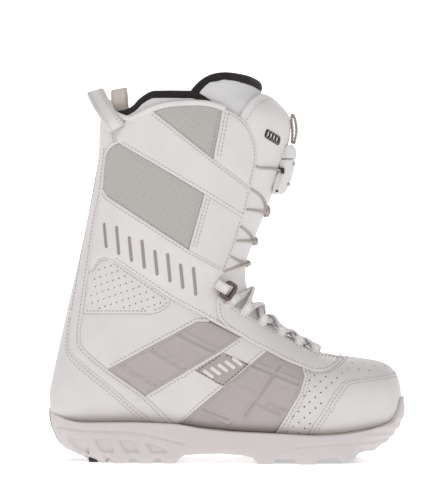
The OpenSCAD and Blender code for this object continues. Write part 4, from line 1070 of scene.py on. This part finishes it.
# Liner: padded walls with a rolled black edge, the inside of the boot and the footbed
LINER_TOP = smooth([(-100.5, 301), (-92, 302.5), (-84.5, 306), (-78, 312), (-69, 317), (-60, 317.6),
                    (-40, 317.4), (-25, 316), (-8, 305), (3, 294.5), (9, 280), (11, 262), (7.5, 235),
                    (0, 212), (-6, 190)])
LINER_LOW = [(-6, 190), (-30, 180), (-80, 178), (-110, 185), (-124, 200)]
OUTER_FACE, INNER_FACE = 4.8, 12.6           # depths of the liner's two faces under the shell's surface
for name, nodes, options in (
    ("liner_wall", ("liner_cuff", "flex_liner"), {"top": OUTER_FACE, "thick": 11.0, "puff": 0.4}),
    ("liner_lining", (), {"top": INNER_FACE, "thick": 9.0, "puff": -0.4, "round_edge": -0.5}),
):
    panel(name, nodes, "liner_cloth", [LINER_CLOTH, SHADE_DARKENED_THREAD], [(LINER_TOP, ()), (LINER_LOW, ())],
          wrap=180, step=4.0, **options)
edge_roll("liner_edge", LINER_TOP, 8.6, 9.2, 8.6, BINDING, "binding", 180, "collar_binding")

build = Build()
turns = np.arange(0, 360, 5.0)
up_leg = np.arange(4, 19.2, 0.4)
inner_v = np.concatenate([[2.9, 3.3], up_leg])
outer_v = np.concatenate([[1.9, 2.4, 3.0], up_leg])[::-1]
walls = [on_shell(v[:, None], turns, depth) for v, depth in ((inner_v, INNER_FACE), (outer_v, OUTER_FACE))]
build.add(np.concatenate(walls), rod_faces(len(inner_v) + len(outer_v), len(turns)))
place(build.make("liner_inside", [LINING]), "liner_cloth", "liner_foot")

# Footbed: a moulded insole with a raised rim, lying on the liner's floor
build = Build()
bed_x = np.linspace(-133.5, 125.5, 88)
bed_y = np.linspace(-1, 1, 25)
wall = on_shell(np.linspace(2.8, 17, 700), -90.0, 13.2)
rows = []
for x in bed_x:
    ground = np.interp(x, *SOLE_TOP.T) + 10
    at = np.argmin(np.abs(wall[:, 0] - x) + np.abs(wall[:, 2] - ground - 6) * 0.2)
    ends = min(1.0, math.sqrt(max(0.02, 1 - (abs(x + 4) / 131) ** 10)))
    y = bed_y * max(3.0, -wall[at, 1]) * ends * 0.86
    top = np.column_stack([np.full(25, x), y, ground + 3.6 + 2.6 * np.abs(bed_y) ** 5])
    low = np.column_stack([np.full(25, x), y[::-1], np.full(25, ground + 0.2)])
    rows += [top, low]
build.add(np.vstack(rows), rod_faces(len(bed_x), 2 * len(bed_y)))
place(build.make("footbed_insole", [LINING]), "liner_cloth", "footbed")


# The liner's tongue: a closed form that a short cloth simulation swells
def simulate(obj, voxel, cap, pressure=4.0, steps=20):
    """Remeshes a closed form and swells it with air pressure, each point moving at most cap mm."""
    scene = bpy.context.scene
    remesh = obj.modifiers.new("remesh", "REMESH")
    remesh.mode, remesh.voxel_size = "VOXEL", voxel * MM
    graph = bpy.context.evaluated_depsgraph_get()
    mesh = bpy.data.meshes.new_from_object(obj.evaluated_get(graph))
    obj.modifiers.clear()
    obj.data = mesh
    rest = np.array([v.co[:] for v in mesh.vertices])
    cloth = obj.modifiers.new("cloth", "CLOTH")
    cloth.settings.use_pressure = True
    cloth.settings.uniform_pressure_force = pressure
    cloth.settings.effector_weights.gravity = 0
    cloth.settings.quality = 4
    cloth.settings.mass = 0.3
    for k in range(1, steps + 1):
        scene.frame_set(k)
    graph = bpy.context.evaluated_depsgraph_get()
    done = np.array([v.co[:] for v in obj.evaluated_get(graph).data.vertices])
    move = np.nan_to_num(done - rest)
    size = np.linalg.norm(move, axis=1)
    move *= np.minimum(1, cap * MM / np.maximum(size, 1e-9))[:, None]
    obj.modifiers.clear()
    scene.frame_set(1)
    mesh.vertices.foreach_set("co", (rest + move).astype(np.float32).ravel())
    mesh.update()
    obj.modifiers.new("smooth", "SUBSURF").render_levels = 1


def wrap_uv(obj):
    """A layout that follows the height and the way round the leg, for weave on a remeshed piece."""
    mesh = obj.data
    co = np.zeros(len(mesh.vertices) * 3)
    mesh.vertices.foreach_get("co", co)
    co = co.reshape(-1, 3)
    turn = np.arctan2(co[:, 1], co[:, 0] + 0.035) * 0.052
    index = np.zeros(len(mesh.loops), int)
    mesh.loops.foreach_get("vertex_index", index)
    layer = mesh.uv_layers.get("UVMap") or mesh.uv_layers.new(name="UVMap")
    layer.data.foreach_set("uv", np.stack([turn, co[:, 2]], 1)[index].astype(np.float32).ravel())
    mesh.polygons.foreach_set("use_smooth", [True] * len(mesh.polygons))


def pad(name, slot, node, mat, half, wrap, top, bottom, voxel=3.2, cap=2.5):
    """A padded piece between two depths, mirrored over the centre line at the angle wrap."""
    line = to_shell(resample(half, SEAM_STEP))
    line[0, 1] = line[-1, 1] = wrap
    line = spaced(line, 2.5)
    loop = np.vstack([line, across(line[::-1], wrap)[1:-1]])
    verts, kind, tris = triangulate(loop, [], [], 4.5)
    vu, n, m = from_flat(verts), len(loop), len(verts)
    rim = np.where(kind == 0, 2.2, 0.8)      # the form starts thinner than the pad, and thinnest at its rim
    faces = [(i, (i + 1) % n, m + (i + 1) % n, m + i) for i in range(n)]
    faces = [tuple(f) for f in tris] + [tuple(m + i for i in f[::-1]) for f in tris] + faces
    build = Build()
    build.add([on_shell(vu[:, 0], vu[:, 1], depth) for depth in (top + rim, bottom - rim)], faces)
    obj = build.make(name, [mat])
    simulate(obj, voxel, cap)
    wrap_uv(obj)
    place(obj, slot, node)


TONGUE_TOP = smooth([(37.0, 327.4), (36.0, 328.0), (32.6, 329.4), (28.0, 330.8), (20.5, 332.2),
                     (5.5, 333.6), (-5.9, 332.6), (-14.7, 329.4), (-21.8, 324.3), (-27.5, 318.5)])
TONGUE_LOW = [(-25, 318.5), (-8, 307.5), (4, 297), (12, 281), (14, 262), (11, 235), (4, 214), (2, 204),
              (28.6, 201)]
TONGUE_EDGE = smooth([(43.7, 316.0), (41.4, 316.8), (36.3, 318.3), (32.8, 317.6), (27.5, 314.6),
                      (22.2, 309.6), (17.8, 303.6), (13.4, 295.6), (10, 284)])
pad("liner_tongue_pad", "liner_cloth", "liner_tongue", LINER_CLOTH, np.vstack([TONGUE_TOP, TONGUE_LOW]),
    0, 5.6, 15.5)
edge_roll("liner_tongue_edge", TONGUE_TOP, 9.6, 9.5, 7.6, BINDING, "binding", 0, "liner_tongue_binding")
edge_roll("tongue_rim", TONGUE_EDGE, 4.2, 4.6, 4.4, TONGUE_SKIN, "white_leather", 0)

# Pull loops
for name, body, slot, node, mat, step, band, points in (
    ("heel_loop_webbing", "heel_loop", "webbing", "heel_pull_loop", WEBBING, 2.0,
     ((0.955, 0, 0.297), 15, 1.9, (1.6, 3.4)),
     [(-95, -44, 289), (-99, -42, 296), (-106, -32, 306), (-112, -17, 316), (-115, -6, 322.5),
      (-116, 0, 324), (-115, 6, 322.5), (-112, 17, 316), (-106, 32, 306), (-99, 42, 296),
      (-95, 44, 289)]),
    ("liner_loop_webbing", "liner_loop", "beige_webbing", "liner_pull_loop", BEIGE_WEBBING, 1.5,
     ((0.98, 0, 0.2), 14, 1.8, (1.5,)),
     [(-92, -11, 303), (-94, -12.5, 312), (-94.5, -9, 321), (-95, 0, 325.5), (-94.5, 9, 321),
      (-94, 12.5, 312), (-92, 11, 303)]),
    ("pull_handle_webbing", "handle", "handle_webbing", "pull_handle", HANDLE_WEBBING, 0.8,
     ((0, 1, 0), 9, 1.7, (1.2,)),
     [(59.2, 0, 277.8), (61.3, 0, 289), (60, 0, 299.5), (57.5, 0, 303.5), (56.9, 0, 298),
      (57.8, 0, 288.5), (57.4, 0, 278.2)]),
):
    build = Build()
    add_band(build, curve3(points, step), *band)
    ride(build.make(name, [mat, SHADE_DARKENED_THREAD]), body, slot, node)


# Lace lock on the tongue
def add_block(build, outline_xz, half, round_by, at=0.0):
    """A block with rounded edges: an outline in side view, half wide each way from y = at."""
    line = rounded(outline_xz, round_by * 1.6, 0.6)
    centre = line.mean(0)
    size = np.linalg.norm(line - centre, axis=1)[:, None]
    turn = np.linspace(0, math.pi / 2, 5)
    steps = [(-half + round_by * (1 - math.cos(a)), round_by * (1 - math.sin(a))) for a in turn]
    steps += [(0.0, 0.0)] + [(-y, by) for y, by in steps[::-1]]
    rows = []
    for y, by in steps:
        p = centre + (line - centre) * (1 - np.minimum(by / size, 0.9))
        rows.append(np.column_stack([p[:, 0], np.full(len(p), at + y), p[:, 1]]))
    build.add(np.vstack(rows), rod_faces(len(rows), len(line)))


def add_bar(build, x, z, y, wide, high, sides=12, swell=1.0):
    """A round bar across the boot at x, z, through the places y."""
    path = [(x, at, z) for at in y]
    add_tube(build, path, wide, high, sides=sides, swell=swell)


LOCK_BODY = [(51.6, 263.2), (60.4, 263.2), (58.8, 255), (54.4, 240), (50.2, 233.8), (43.2, 233.8)]
LOCK_WING = [(46.9, 263.4), (58.2, 263.2), (57.0, 255), (53.4, 243), (48.8, 234.4), (40.7, 233.6),
             (39.8, 237.2), (41.6, 246), (45.4, 253)]       # reaches back round the tongue
WING_RIDGE = [(51.0, 261.4), (56.4, 261.4), (54.8, 254), (50.6, 242.4), (47.4, 237), (43.6, 237)]
LOCK_SLIDER = [(54.8, 276.6), (57.8, 276.2), (60.7, 272.5), (60.7, 264.2), (52.6, 264.2)]
SLIDER_CHEEK = [(49.6, 272.2), (47.6, 264.4), (59.0, 264.4), (59.4, 272.2), (55.7, 275.7), (52.1, 276.4)]
LACE_HOOK = [(44.6, 256.8), (50.2, 256.2), (50.2, 251.4), (47.6, 250.8), (47.2, 253.4), (44.9, 254)]
PIN_Y = [-15.2, -15.1, -14.8, -14.0, 14.0, 14.8, 15.1, 15.2]
PIN_SWELL = [0.3, 0.7, 0.95, 1, 1, 0.95, 0.7, 0.3]
RIVET_Y, RIVET_SWELL = np.array([15.0, 15.8, 16.3, 16.7, 16.85]), [1, 1, 0.95, 0.6, 0.25]

housing, button, pins, rivets = Build(), Build(), Build(), Build()
add_block(housing, LOCK_BODY, 15, 1.6)
add_block(button, LOCK_SLIDER, 13, 1.4)
for side in (-1, 1):
    add_block(housing, LOCK_WING, 2.4, 1.0, side * 13.6)
    add_block(housing, WING_RIDGE, 0.6, 0.4, side * 16.0)
    add_block(button, SLIDER_CHEEK, 1.7, 0.8, side * 13.2)
    add_bar(rivets, 43.8, 236.0, side * RIVET_Y, 2.4, 2.4, 20, RIVET_SWELL)
    add_block(rivets, LACE_HOOK, 1.3, 0.5, side * 17.0)
for x, z in ((59.6, 259), (58.3, 254.5), (56.8, 249.5), (55.2, 244.5)):
    add_bar(housing, x, z, np.linspace(-8, 8, 9), 1.6, 1.2)
for k in range(3):
    add_bar(button, 60.7 - k * 0.05, 266.6 + k * 2.0, np.linspace(-9, 9, 9), 1.1, 0.9)
for x, z in ((57.6, 260), (53.0, 242.5)):
    add_bar(pins, x, z, PIN_Y, 3.0, 3.0, 20, PIN_SWELL)
    for side in (-1, 1):
        clip = [(x + 0.4, z + 1.7), (x + 2.7, z + 1.5), (x + 2.1, z - 1.9), (x + 0.1, z - 1.7)]
        add_block(pins, clip, 1.6, 0.5, side * 12.4)
ride(housing.make("lock_housing", [PLASTIC]), "cuff", "lock_plastic", "lock_body")
ride(button.make("lock_button", [PLASTIC]), "slider", "lock_plastic", "lock_slider")
ride(pins.make("lock_pin_bars", [DARK_METAL]), "cuff", "dark_metal", "lock_pins")
ride(rivets.make("lock_rivet_heads", [DARK_METAL]), "cuff", "dark_metal", "lock_rivets")

# Laces. Rows of points are section, angle and depth.
EYE_VU = to_shell(EYE)
EYE_VU = EYE_VU[np.argsort(EYE_VU[:, 0])]


def eye_angle(v):
    """Angle of the lacing opening's edge at a section."""
    return float(np.interp(v, *EYE_VU.T))


def shell_points(rows):
    return on_shell(*np.array(rows, float).T)


def mix(a, b, f):
    return a * (1 - f) + b * f


build = Build()
for first, middle, last in ((20.9, 19.75, 20.1), (19.4, 18.1, 18.7), (17.7, 14.9, 16.2)):
    for side, over in ((-1, 0.2), (1, 2.6)):
        a, b = eye_angle(first), eye_angle(last)
        rows = [(first, side * (a + 4), 2.0), (first, side * (a - 0.5), 1.2),
                (mix(first, middle, 0.3), side * 28, 0.6 - over / 3),
                (mix(first, middle, 0.7), side * 12, -0.2 - over), (middle, 0, -0.2 - over),
                (mix(last, middle, 0.7), -side * 12, -0.2 - over),
                (mix(last, middle, 0.3), -side * 28, 0.6 - over / 3),
                (last, -side * (b - 0.5), 1.2), (last, -side * (b + 4), 2.0)]
        add_tube(build, curve3(shell_points(rows), 0.9), 2.2, 2.0, sides=14)
for side in (-1, 1):                         # the lace's ends, from the eyestay to the hooks beside the lock
    run = to_shell([(24.5, 259.5), (26.6, 256.8), (30, 255.4), (36, 255.2), (41, 255.0)]) * [1, side]
    end = on_shell(run[:, 0], run[:, 1], [2.4, 1.4, 0.3, -0.2, -0.6])
    add_tube(build, curve3(np.vstack([end, [(46.2, side * 18.2, 254.0)]]), 0.9), 2.2, 2.0, sides=14)
place(build.make("upper_lace_cord", [UPPER_LACE]), "upper_lace", "upper_lace")

LOWER_ROWS = [(11.7, 39), (10.4, 32.7), (9.2, 26.5), (8.1, 21.5), (7.15, 19), (6.3, 18)]
build = Build()
for side, over in ((-1, 1.2), (1, 4.0)):
    rows = []
    for k, (v, u) in enumerate(LOWER_ROWS):
        s = side * (-1) ** k
        rows.append((v, s * (u - 2), -3.0))
        if k < len(LOWER_ROWS) - 1:
            w, x = LOWER_ROWS[k + 1]
            rows += [(mix(v, w, 0.3), s * u * 0.55, -over), (mix(v, w, 0.5), 0, -over),
                     (mix(v, w, 0.7), -s * x * 0.55, -over)]
    add_tube(build, curve3(shell_points(rows), 1.0), 6.4, 3.0, sides=16)
place(build.make("lower_lace_cord", [LOWER_LACE]), "lower_lace", "lower_lace")

build = Build()
for v, u in LOWER_ROWS:
    for side in (-1, 1):
        e = eye_angle(v)
        rows = [(v, side * (angle + by), depth) for angle, by, depth in (
            (e, 5, 1.4), (e, -1, 0.6), (u, -5, -0.6), (u, -7.5, -2.6), (u, -5, -5.2), (u, 0.5, -5.4),
            (e, 1.5, -1.2), (e, 5, -0.4), (e, 8, 0.9))]
        ahead = shell_points([(v + 0.3, side * u, 0)])[0] - shell_points([(v - 0.3, side * u, 0)])[0]
        add_band(build, curve3(shell_points(rows), 0.8), ahead / np.linalg.norm(ahead), 8.0, 1.3, (1.1,))
place(build.make("lace_loops", [WEBBING, SHADE_DARKENED_THREAD]), "webbing", "lower_lace_loops")


# Ankle rings and their tabs
def turn_about(axis, degrees):
    """Rotation matrix about axis 0, 1 or 2."""
    c, s = math.cos(math.radians(degrees)), math.sin(math.radians(degrees))
    i, j = (axis + 1) % 3, (axis + 2) % 3
    turn = np.eye(3)
    turn[i, i], turn[i, j], turn[j, i], turn[j, j] = c, -s, s, c
    return turn


RING_TURN = turn_about(1, 32) @ turn_about(2, 34) @ turn_about(0, 90)
RING_AT = np.array([1.5, float(on_shell(12.9, -36)[1]) - 8.2, 149])
RING_CORNERS = rounded([(-4.75, -6.75), (4.75, -6.75), (4.75, 6.75), (-4.75, 6.75)], 3.0, 0.35)
TAB_ROUTE = [(-9.5, 0, -7.5), (-8.2, 0, -5.4), (-6.8, 0, -3.8), (-4.6, 0, -3.0), (-2.2, 0, -1.6),
             (-2.0, 0, 0), (-2.4, 0, 1.9), (-4.8, 0, 2.8), (-7.4, 0, 0.6), (-8.8, 0, -2.4),
             (-10.5, 0, -6.5)]


def ring_points(local, side):
    """Points of the ring's own frame, placed at the ankle on one side."""
    p = np.asarray(local, float) @ RING_TURN.T + RING_AT
    p[:, 1] *= -side
    return p


tabs = Build()
for side, body in ((-1, "ring_outer"), (1, "ring_inner")):
    origin, y_dir, z_dir = ring_points([(0, 0, 0), (0, 1, 0), (0, 0, 1)], side)
    path = ring_points(np.column_stack([RING_CORNERS, np.zeros(len(RING_CORNERS))]), side)
    _, a, b = frames(path, np.broadcast_to(z_dir - origin, path.shape), True)
    k = np.arange(40) * 2 * math.pi / 40
    flute = 1 + 0.05 * np.cos(9 * k)
    ring = tube_points(path, a, b, (1.95 * flute * bow(np.cos(k), 3))[:, None],
                       (1.7 * flute * bow(np.sin(k), 3))[:, None])
    n = len(path)
    build = Build()
    build.add(ring, [tuple(i % (n * 40) for i in f) for f in grid_faces(n + 1, 40, True)])
    ride(build.make(body.replace("ring", "ankle_ring_bar"), [BRONZE]), body, "ring_metal", "ankle_" + body)
    add_band(tabs, curve3(ring_points(TAB_ROUTE, side), 0.7), y_dir - origin, 8.6, 1.1, (1.2,))
place(tabs.make("ring_tab_webbing", [WEBBING, SHADE_DARKENED_THREAD]), "webbing", "ring_tabs")


# Label on the outer side of the tongue
def sunk_field(xz, far):
    """A field a little below the label's border."""
    return -0.35 * np.clip((far - 1.8) / 0.5, 0, 1)


LABEL_LINE = rounded([(35.2, 289.8), (48.0, 282.8), (46.4, 274.8), (33.0, 282.2)], 2.2, 1.0)
panel("tongue_badge", ("tongue_label",), "label", [LABEL, SHADE_DARKENED_THREAD], [(LABEL_LINE, (0.9,))], top=0.5, thick=2.6,
      step=0.8, round_edge=0.5, puff=0.1, relief=sunk_field, sides=(-1,))


# Plain raised bars in place of lettering: on the quarter, the midfoot patch and the label
def raised_bars(name, lines, sides, wide, high, depth, mat):
    build = Build()
    for side in sides:
        for line in lines:
            vu = to_shell(resample(line, 1.0)) * [1, side]
            path = on_shell(vu[:, 0], vu[:, 1], depth)
            from_end = np.minimum(np.arange(len(path)), np.arange(len(path))[::-1])
            taper = np.clip(from_end / 1.5 + 0.35, 0, 1)
            add_tube(build, path, wide, high, slopes(vu)[3], power=2.8, swell=taper)
    place(build.make(name, [mat]), "grey_textile")


def row_of(count, start, end, step):
    """Lines from start to end, each moved on by a step from the last."""
    return [np.array([start, end]) + k * np.array(step) for k in range(count)]


QUARTER_BARS = row_of(8, (-104, 186), (-106.2, 208), (11, -5.9))
for bar in QUARTER_BARS[1::2]:
    bar[1, 1] += 3
raised_bars("quarter_bars", QUARTER_BARS, (-1, 1), 2.8, 1.1, -0.45, BAR_GREY)
PATCH_BARS = row_of(5, (-20.5, 80.6), (-11.5, 74.2), (6.2, 2.6))
LABEL_BARS = row_of(4, (36.6, 287.0), (35.7, 282.9), (2.6, -1.45))
raised_bars("patch_bars", PATCH_BARS, (-1, 1), 3.2, 0.9, -1.1, BAR_PALE)
raised_bars("label_lines", LABEL_BARS, (-1,), 1.1, 0.6, 0.55, BAR_PALE)
